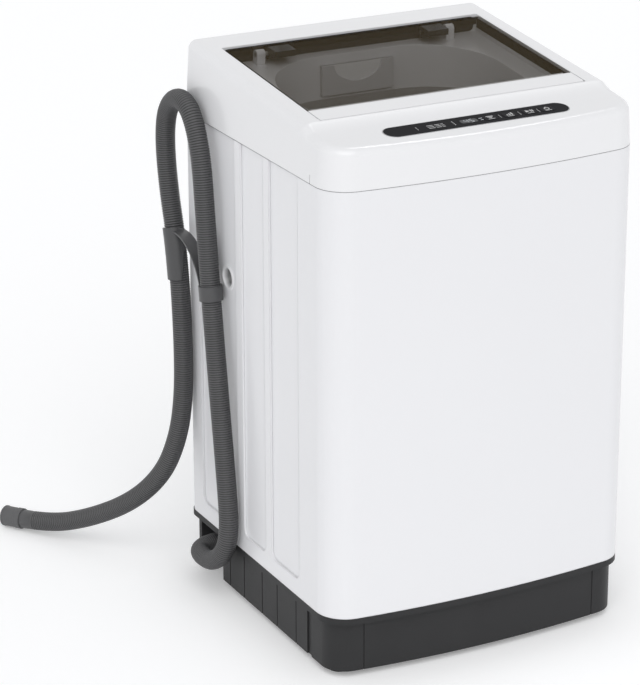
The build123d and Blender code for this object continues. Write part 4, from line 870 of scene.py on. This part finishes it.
def flat_disc(bm, u, v, radius, sides, level=0.0):
    """A flat disc, centred in the strip's plane."""
    edge = bmesh.ops.create_circle(bm, cap_ends=True, radius=radius, segments=sides)["verts"]
    bmesh.ops.translate(bm, verts=edge, vec=(u, v, level))
    return edge[0].link_faces[0]


def corners_of(parts):
    """The corner points among the parts that an operator made."""
    return [part for part in parts if isinstance(part, bmesh.types.BMVert)]


def thicken(bm, height):
    """Draws flat shapes up into thin plates."""
    drawn = bmesh.ops.extrude_face_region(bm, geom=bm.faces[:], use_keep_orig=True)["geom"]
    bmesh.ops.translate(bm, verts=corners_of(drawn), vec=(0, 0, height))


def printed(bm, name, finish, body):
    """Thickens flat shapes by the height of the print and lays them on the console."""
    thicken(bm, PRINT_HEIGHT)
    bm.transform(STRIP_PLACE)
    piece = finished(bm, name, finish, smooth=False)
    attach(piece, body)
    print(name, len(piece.data.polygons))


print("strip plane at", [round(v, 4) for v in STRIP_PLACE.translation])

# %% Outline of the strip
STRIP_HALF, STRIP_WIDTH, STRIP_SIDES = 0.1328, 0.0316, 64
OUTLINE_WIDTH = 0.0007

bm = bmesh.new()
pill = flat_disc(bm, 0, 0, STRIP_WIDTH / 2, STRIP_SIDES)
for vertex in pill.verts:
    vertex.co.x += math.copysign(STRIP_HALF - STRIP_WIDTH / 2, vertex.co.x)
open_middle(bm, pill, OUTLINE_WIDTH)
printed(bm, "strip_outline", bright_line, "frame")

# %% Dividers, lamps and label bars
DIVIDER_SPOTS, DIVIDER_WIDTH, DIVIDER_HEIGHT = (-0.086, 0.0330, 0.0615, 0.0890), 0.0005, 0.0100
LABEL_ROWS, LABEL_HEIGHT = (0.0036, -0.0004, -0.0044), 0.0011
LABEL_BARS = ((-0.0665, 0.0090), (-0.0565, 0.0072), (-0.0495, 0.0040))
LAMP_COLUMN, LAMP_ROWS = -0.0340, (-0.0048, -0.0016, 0.0016, 0.0048)
LAMP_RADIUS, LAMP_SIDES = 0.0008, 16

bm = bmesh.new()
for u in DIVIDER_SPOTS:
    flat_bar(bm, u, 0, DIVIDER_WIDTH, DIVIDER_HEIGHT)
for v in LABEL_ROWS:
    for u, width in LABEL_BARS:
        flat_bar(bm, u, v, width, LABEL_HEIGHT)
for v in LAMP_ROWS:
    flat_disc(bm, LAMP_COLUMN, v, LAMP_RADIUS, LAMP_SIDES)
printed(bm, "strip_labels", ink, "frame")

# %% [markdown]
# Each key carries one plain symbol over a short label bar: three bars for the program, three columns
# for the water level, a triangle with two bars for start and pause, and a broken ring for power. A
# symbol rides on its key, so it goes in when the key is pressed.

# %% Key symbols
KEY_TOP = 0.0004
KEY_SPOTS = {
    "program_key": 0.019, "water_level_key": 0.047, "start_pause_key": 0.076, "power_key": 0.102,
}
KEY_LABEL_PLACE, KEY_LABEL_WIDTH, KEY_LABEL_HEIGHT = -0.0044, 0.0096, 0.0010
PROGRAM_BARS, PROGRAM_BAR_HEIGHT = ((0.0036, 0.0104), (0.0014, 0.0076), (-0.0008, 0.0048)), 0.0013
LEVEL_COLUMNS = ((-0.0036, 0.0030), (0.0, 0.0050), (0.0036, 0.0070))
LEVEL_FOOT, LEVEL_WIDTH = -0.0020, 0.0020
START_MIDDLE, ARROW_RADIUS, ARROW_SHIFT = 0.0014, 0.0038, -0.0030
PAUSE_SHIFTS, PAUSE_WIDTH, PAUSE_HEIGHT = (0.0026, 0.0052), 0.0015, 0.0064
POWER_MIDDLE, POWER_RADIUS, POWER_RING, RING_SIDES = 0.0010, 0.0037, 0.0012, 32
POWER_BAR_PLACE, POWER_BAR_WIDTH, POWER_BAR_HEIGHT = 0.0044, 0.0013, 0.0030

for body, u in KEY_SPOTS.items():
    bm = bmesh.new()
    flat_bar(bm, u, KEY_LABEL_PLACE, KEY_LABEL_WIDTH, KEY_LABEL_HEIGHT, KEY_TOP)
    if body == "program_key":
        for v, width in PROGRAM_BARS:
            flat_bar(bm, u, v, width, PROGRAM_BAR_HEIGHT, KEY_TOP)
    elif body == "water_level_key":
        for shift, height in LEVEL_COLUMNS:
            flat_bar(bm, u + shift, LEVEL_FOOT + height / 2, LEVEL_WIDTH, height, KEY_TOP)
    elif body == "start_pause_key":
        arrow = bmesh.ops.create_circle(bm, cap_ends=True, radius=ARROW_RADIUS, segments=3)["verts"]
        aside = Matrix.Rotation(-QUARTER_TURN, 3, "Z")
        bmesh.ops.rotate(bm, verts=arrow, cent=(0, 0, 0), matrix=aside)
        bmesh.ops.translate(bm, verts=arrow, vec=(u + ARROW_SHIFT, START_MIDDLE, KEY_TOP))
        for shift in PAUSE_SHIFTS:
            flat_bar(bm, u + shift, START_MIDDLE, PAUSE_WIDTH, PAUSE_HEIGHT, KEY_TOP)
    else:
        button = flat_disc(bm, u, POWER_MIDDLE, POWER_RADIUS, RING_SIDES, KEY_TOP)
        open_middle(bm, button, POWER_RING)
        flat_bar(bm, u, POWER_BAR_PLACE, POWER_BAR_WIDTH, POWER_BAR_HEIGHT, KEY_TOP)
    printed(bm, body + "_symbol", ink, body)

# %% [markdown]
# The display is a grey field with two seven-bar digits. They are the same flat shapes, the digits in
# a finish that glows a little, as a lit display does behind dark plastic.

# %% Display field and digits
FIELD_PLACE, FIELD_WIDTH, FIELD_HEIGHT, FIELD_LEVEL = -0.0120, 0.0240, 0.0104, 0.00002
DIGIT_SPOTS, DIGIT_LEVEL = ((-0.0158, "4"), (-0.0082, "5")), 0.0001
DIGIT_BARS = {"4": "bcfg", "5": "acdfg"}
BAR_PLACES = {
    "a": (0, 1, True), "d": (0, -1, True), "g": (0, 0, True),
    "b": (1, 0.5, False), "c": (1, -0.5, False), "f": (-1, 0.5, False),
}
DIGIT_HALF_WIDTH, DIGIT_HALF_HEIGHT = 0.0022, 0.0042
SEGMENT_LENGTH, SEGMENT_WIDTH = 0.0034, 0.0008
UNIT_PLACE, UNIT_BARS, UNIT_HEIGHT = 0.0060, ((0.0028, 0.0052), (-0.0022, 0.0040)), 0.0011
GLOW = {"Emission Color": (0.85, 0.92, 1.0, 1), "Emission Strength": 0.12}
FIELD_GLOSS = 0.05

glow = skin_material(
    "display_glow", (0.50, 0.52, 0.54), (0.58, 0.60, 0.62), smooth=0.4, rough=0.5,
    cloud=300, bump=0.02,
)
tune(glow, GLOW)
field = skin_material(
    "display_field", (0.085, 0.087, 0.090), (0.105, 0.107, 0.110), smooth=0.35, rough=0.45,
    cloud=120, bump=0.02,
)
tune(field, {"Specular IOR Level": FIELD_GLOSS})
bm = bmesh.new()
flat_bar(bm, FIELD_PLACE, 0, FIELD_WIDTH, FIELD_HEIGHT, FIELD_LEVEL)
printed(bm, "display_field", field, "frame")

bm = bmesh.new()
for v, width in UNIT_BARS:
    flat_bar(bm, UNIT_PLACE, v, width, UNIT_HEIGHT)
for spot, digit in DIGIT_SPOTS:
    for bar in DIGIT_BARS[digit]:
        u, v, lies = BAR_PLACES[bar]
        size = (SEGMENT_LENGTH, SEGMENT_WIDTH) if lies else (SEGMENT_WIDTH, SEGMENT_LENGTH)
        flat_bar(bm, spot + u * DIGIT_HALF_WIDTH, v * DIGIT_HALF_HEIGHT, *size, DIGIT_LEVEL)
printed(bm, "display_digits", glow, "frame")

# %% [markdown]
# ## The seam under the top cover
# The cover is dropped over the cabinet, and the shade in the joint is painted as a dark hairline all
# round. Cutting a copy of the cover's mesh with a level plane gives the outline, and the outer loop
# of that cut, made a little proud and less than half a millimetre high, is the line.

# %% Seam line
SEAM_HEIGHT = 0.6643
SEAM_LINE = 0.0004
SEAM_PROUD = 1.0003
SEAM_WALL = 0.0002


def everything(bm):
    """All corners, edges and faces of a bmesh."""
    return bm.verts[:] + bm.edges[:] + bm.faces[:]


bm = bmesh.new()
bm.from_mesh(nodes["top_cover"].data)
bm.transform(nodes["top_cover"].matrix_world)
bmesh.ops.remove_doubles(bm, verts=bm.verts, dist=WELD_DISTANCE)
cut = bmesh.ops.bisect_plane(
    bm, geom=everything(bm), plane_co=(0, 0, SEAM_HEIGHT), plane_no=(0, 0, 1),
)
cut_edges = {part for part in cut["geom_cut"] if isinstance(part, bmesh.types.BMEdge)}
loop, waiting = set(), [max(cut_edges, key=lambda edge: edge.verts[0].co.x)]
while waiting:
    edge = waiting.pop()
    loop.add(edge)
    nearby = (other for vertex in edge.verts for other in vertex.link_edges)
    waiting += [other for other in nearby if other in cut_edges and other not in loop]
bmesh.ops.delete(bm, geom=bm.faces[:], context="FACES_ONLY")
bmesh.ops.delete(bm, geom=[edge for edge in bm.edges if edge not in loop], context="EDGES")
loose = [vertex for vertex in bm.verts if not vertex.link_edges]
bmesh.ops.delete(bm, geom=loose, context="VERTS")
bmesh.ops.scale(bm, verts=bm.verts, vec=(SEAM_PROUD, SEAM_PROUD, 1))
drawn = bmesh.ops.extrude_edge_only(bm, edges=bm.edges[:])["geom"]
bmesh.ops.translate(bm, verts=corners_of(drawn), vec=(0, 0, -SEAM_LINE))
bmesh.ops.solidify(bm, geom=bm.faces[:], thickness=SEAM_WALL)
# The hairline takes the dark motor paint, as painted shade in the joint.
seam = crisp(finished(bm, "cover_seam", motor_paint_and_seam_shade))
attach(seam, "frame")
print("seam faces", len(seam.data.polygons))

# %% [markdown]
# ## Screws at the back
# Eight screws hold the rear cover, and each head has a cross for the driver. A cross is two flat bars
# in black, painted shade that reads as a slot, so the heads of the CAD model stay whole.

# %% Cross slots in the rear screws
SCREW_FACE = 0.2188
SCREW_SIDE, SCREW_ROWS = 0.194, (0.140, 0.300, 0.460, 0.620)
SLOT_LENGTH, SLOT_WIDTH = 0.0044, 0.0009

bm = bmesh.new()
for x in (-SCREW_SIDE, SCREW_SIDE):
    for z in SCREW_ROWS:
        flat_bar(bm, x, z, SLOT_LENGTH, SLOT_WIDTH)
        flat_bar(bm, x, z, SLOT_WIDTH, SLOT_LENGTH)
thicken(bm, PRINT_HEIGHT)
standing = Matrix.Rotation(QUARTER_TURN, 4, "X")
bm.transform(Matrix.Translation((0, SCREW_FACE, 0)) @ standing @ Matrix.Scale(-1, 4, (0, 0, 1)))
# The black crosses are painted shade for the slots in the heads.
crosses = finished(bm, "screw_crosses", black_plastic, smooth=False)
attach(crosses, "frame")
print("screw crosses", 2 * len(SCREW_ROWS))

# %% [markdown]
# ## Behind the hinges and in the drawer's grip
# A dark strip of painted shade lines the wall behind the hinges, so the rear of the lid reads black
# with the pale hinge ears in front of it. The drawer's half-moon grip has a lighter floor, painted
# light where the sloping grip catches light from above. Both are thin flat shapes: the strip is a bar
# in the lid's sloping plane, and the floor is a stretched circle cut in half.

# %% Painted shade strip
LID_SLOPE = math.atan(LID_PLANE_SLOPE)
TROUGH_WALL, TROUGH_LOW, TROUGH_HIGH, TROUGH_WIDTH = 0.1616, -0.0236, -0.0030, 0.3790
SHEET_THICKNESS = 0.0004

# A black finish for painted shade, on the wall behind the hinges and in the holes of the basket's
# rounds.
painted_shade_finish = skin_material(
    "painted_shade_black", (0.010, 0.009, 0.008), (0.016, 0.014, 0.012), smooth=0.7, rough=0.9,
    grain=700, cloud=60, bump=0.5,
)
bm = bmesh.new()
flat_bar(bm, 0, (TROUGH_LOW + TROUGH_HIGH) / 2, TROUGH_WIDTH, TROUGH_HIGH - TROUGH_LOW)
thicken(bm, SHEET_THICKNESS)
on_wall = Matrix.Translation((0, TROUGH_WALL, 0)) @ standing
in_lid_plane = Matrix.Translation((0, 0, LID_PLANE_HEIGHT)) @ Matrix.Rotation(LID_SLOPE, 4, "X")
bm.transform(in_lid_plane @ on_wall)
trough_painted_shade = finished(bm, "trough_painted_shade", painted_shade_finish, smooth=False)
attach(trough_painted_shade, "frame")
print("painted_shade_finish", len(trough_painted_shade.data.polygons))

# %% Grip floor
GRIP_FLOOR, GRIP_TOP, GRIP_HALF, GRIP_DROP, GRIP_SIDES = 0.1434, 0.7188, 0.0354, 0.0245, 64

# Painted light: the grip floor is paler where the sloping grip catches light from above.
grip_painted_light = skin_material(
    "grip_painted_light", grey(0.91), grey(0.94), smooth=0.3, rough=0.4, grain=700, bump=0.03,
)
bm = bmesh.new()
flat_disc(bm, 0, 0, 1, GRIP_SIDES)
bmesh.ops.bisect_plane(
    bm, geom=everything(bm), plane_co=(0, 0, 0), plane_no=(0, 1, 0), clear_outer=True,
)
bmesh.ops.scale(bm, verts=bm.verts, vec=(GRIP_HALF, GRIP_DROP, 1))
thicken(bm, SHEET_THICKNESS)
bm.transform(Matrix.Translation((0, GRIP_FLOOR, GRIP_TOP)) @ standing)
grip_floor = finished(bm, "grip_floor", grip_painted_light, smooth=False)
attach(grip_floor, "drawer")
print("grip floor", len(grip_floor.data.polygons))

# %% [markdown]
# ## Round the drawer and under the mouth
# The drawer slides through a slot, and a pale lip in that slot closes the gap round its panel. At the
# foot of the loading mouth a grey band of painted shade lines the wall, where the lower mouth wall
# reads dark. The first is a rectangle that is inset and opened. The second is a rectangle with wide
# bevelled corners, whose outline is drawn up along the wall and thickened.

# %% Slot lip
SLOT_HALF, SLOT_LOW, SLOT_HIGH, SLOT_PLACE = 0.0550, 0.6770, 0.7200, 0.1466
SLOT_LIP, SLOT_LIP_DEPTH = 0.0008, 0.0008

bm = bmesh.new()
opening = flat_sheet(bm, 2 * SLOT_HALF, SLOT_HIGH - SLOT_LOW)[0].link_faces[0]
open_middle(bm, opening, SLOT_LIP)
thicken(bm, SLOT_LIP_DEPTH)
bm.transform(Matrix.Translation((0, SLOT_PLACE, (SLOT_LOW + SLOT_HIGH) / 2)) @ standing)
slot_lip = finished(bm, "drawer_slot_lip", white_plastic, smooth=False)
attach(slot_lip, "frame")
print("slot lip", len(slot_lip.data.polygons))

# %% Mouth shade band
MOUTH_SHADE_HALF, MOUTH_SHADE_FRONT, MOUTH_SHADE_REAR = 0.1565, -0.1075, 0.1415
MOUTH_SHADE_CORNER, MOUTH_SHADE_CORNER_STEPS = 0.0995, 20
MOUTH_SHADE_LOW, MOUTH_SHADE_HIGH, MOUTH_SHADE_WALL, WALL_DRAW = 0.6470, 0.6740, 0.0012, 0.0009

# A grey finish for the painted shade at the foot of the mouth.
mouth_shade_grey = skin_material(
    "mouth_shade_grey", grey(0.36), grey(0.42), smooth=0.5, rough=0.65, cloud=30, bump=0.2,
)
bm = bmesh.new()
mouth_shade_depth = MOUTH_SHADE_REAR - MOUTH_SHADE_FRONT
corners = flat_sheet(bm, 2 * MOUTH_SHADE_HALF, mouth_shade_depth)
rounded_corners(bm, corners, MOUTH_SHADE_CORNER, MOUTH_SHADE_CORNER_STEPS)
bmesh.ops.delete(bm, geom=bm.faces[:], context="FACES_ONLY")
upper = corners_of(bmesh.ops.extrude_edge_only(bm, edges=bm.edges[:])["geom"])
widen = (1 + WALL_DRAW / MOUTH_SHADE_HALF, 1 + 2 * WALL_DRAW / mouth_shade_depth, 1)
bmesh.ops.scale(bm, verts=upper, vec=widen)
bmesh.ops.translate(bm, verts=upper, vec=(0, 0, MOUTH_SHADE_HIGH - MOUTH_SHADE_LOW))
bmesh.ops.recalc_face_normals(bm, faces=bm.faces)
bmesh.ops.solidify(bm, geom=bm.faces[:], thickness=MOUTH_SHADE_WALL)
bm.transform(Matrix.Translation((0, (MOUTH_SHADE_FRONT + MOUTH_SHADE_REAR) / 2, MOUTH_SHADE_LOW)))
mouth_shade_band = crisp(finished(bm, "mouth_painted_shade", mouth_shade_grey))
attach(mouth_shade_band, "frame")
print("splash lip", len(mouth_shade_band.data.polygons))

# %% [markdown]
# ## Pressed rounds in the basket
# A steel basket is stiffened by rows of pressed rounds with a small hole in each, between its larger
# drain holes. One round is a capped circle that is inset and raised twice, and its last face is the
# hole, in black as painted shade. The same few faces are turned about the axis to every place, apart
# from the lint filter's, and a dark disc behind each drain hole is painted shade for the unlit gap
# between basket and tub.

# %% One round and one dark disc
BASKET_WALL, BASKET_BACK = 0.1691, 0.1704
ROUND_RADIUS, ROUND_HOLE, ROUND_SIDES = 0.0062, 0.0016, 12
ROUND_SLOPE, ROUND_RISE, DISH_RISE = 0.0022, 0.0009, 0.0002
SHADE_RADIUS = 0.0036
DARK = 1

bm = bmesh.new()
inward = Matrix.Rotation(-QUARTER_TURN, 4, "Y")
middle = flat_disc(bm, 0, 0, ROUND_RADIUS, ROUND_SIDES)
for width, rise in (
    (ROUND_SLOPE, ROUND_RISE), (ROUND_RADIUS - ROUND_SLOPE - ROUND_HOLE, DISH_RISE),
):
    bmesh.ops.inset_individual(bm, faces=[middle], thickness=width, use_even_offset=True)
    bmesh.ops.translate(bm, verts=middle.verts[:], vec=(0, 0, rise))
# The hole's face takes the black finish: painted shade where the hole is.
middle.material_index = DARK
on_inside = Matrix.Translation((BASKET_WALL, 0, 0)) @ inward
bmesh.ops.transform(bm, verts=bm.verts[:], matrix=on_inside)
pressed = everything(bm)

disc = flat_disc(bm, 0, 0, SHADE_RADIUS, ROUND_SIDES)
disc.material_index = DARK
on_outside = Matrix.Translation((BASKET_BACK, 0, 0)) @ inward
bmesh.ops.transform(bm, verts=disc.verts[:], matrix=on_outside)
shade = disc.verts[:] + disc.edges[:] + [disc]
print("round", len(pressed), "parts, disc", len(shade))

# %% Basket rounds
ROW_START, ROW_PITCH, ROW_COUNT = 0.2975, 0.0225, 12
ROUND_PITCH, HOLE_PITCH = 15, 30
FILTER_TURN, FILTER_HALF_TURN = 90, 16
FILTER_LOW, FILTER_HIGH = 0.368, 0.502


def placed_copy(bm, pattern, turn, height):
    """Copies a pattern and turns it about the basket's axis to a height."""
    copy = bmesh.ops.duplicate(bm, geom=pattern)["geom"]
    spot = Matrix.Translation((0, 0, height)) @ Matrix.Rotation(math.radians(turn), 4, "Z")
    bmesh.ops.transform(bm, verts=corners_of(copy), matrix=spot)


def is_drain_hole(row, turn):
    """Every second row has drain holes, each such row half a pitch on from the one before it."""
    return row % 2 == 1 and turn % HOLE_PITCH == (0 if row % 4 == 1 else ROUND_PITCH)


for row in range(ROW_COUNT):
    height = ROW_START + ROW_PITCH * row
    for turn in range(0, 360, ROUND_PITCH):
        near_filter = abs(turn - FILTER_TURN) < FILTER_HALF_TURN
        if not (near_filter and FILTER_LOW < height < FILTER_HIGH):
            placed_copy(bm, shade if is_drain_hole(row, turn) else pressed, turn, height)
bmesh.ops.delete(bm, geom=corners_of(pressed + shade), context="VERTS")
rounds = crisp(finished(bm, "basket_rounds", steel))
rounds.data.materials.append(painted_shade_finish)
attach(rounds, "basket")
print("basket rounds and shades", len(rounds.data.polygons), "faces")

# %% [markdown]
# ## Hose length
# The length of the hose's line is printed.

print("cord length", round(hose_length, 3))
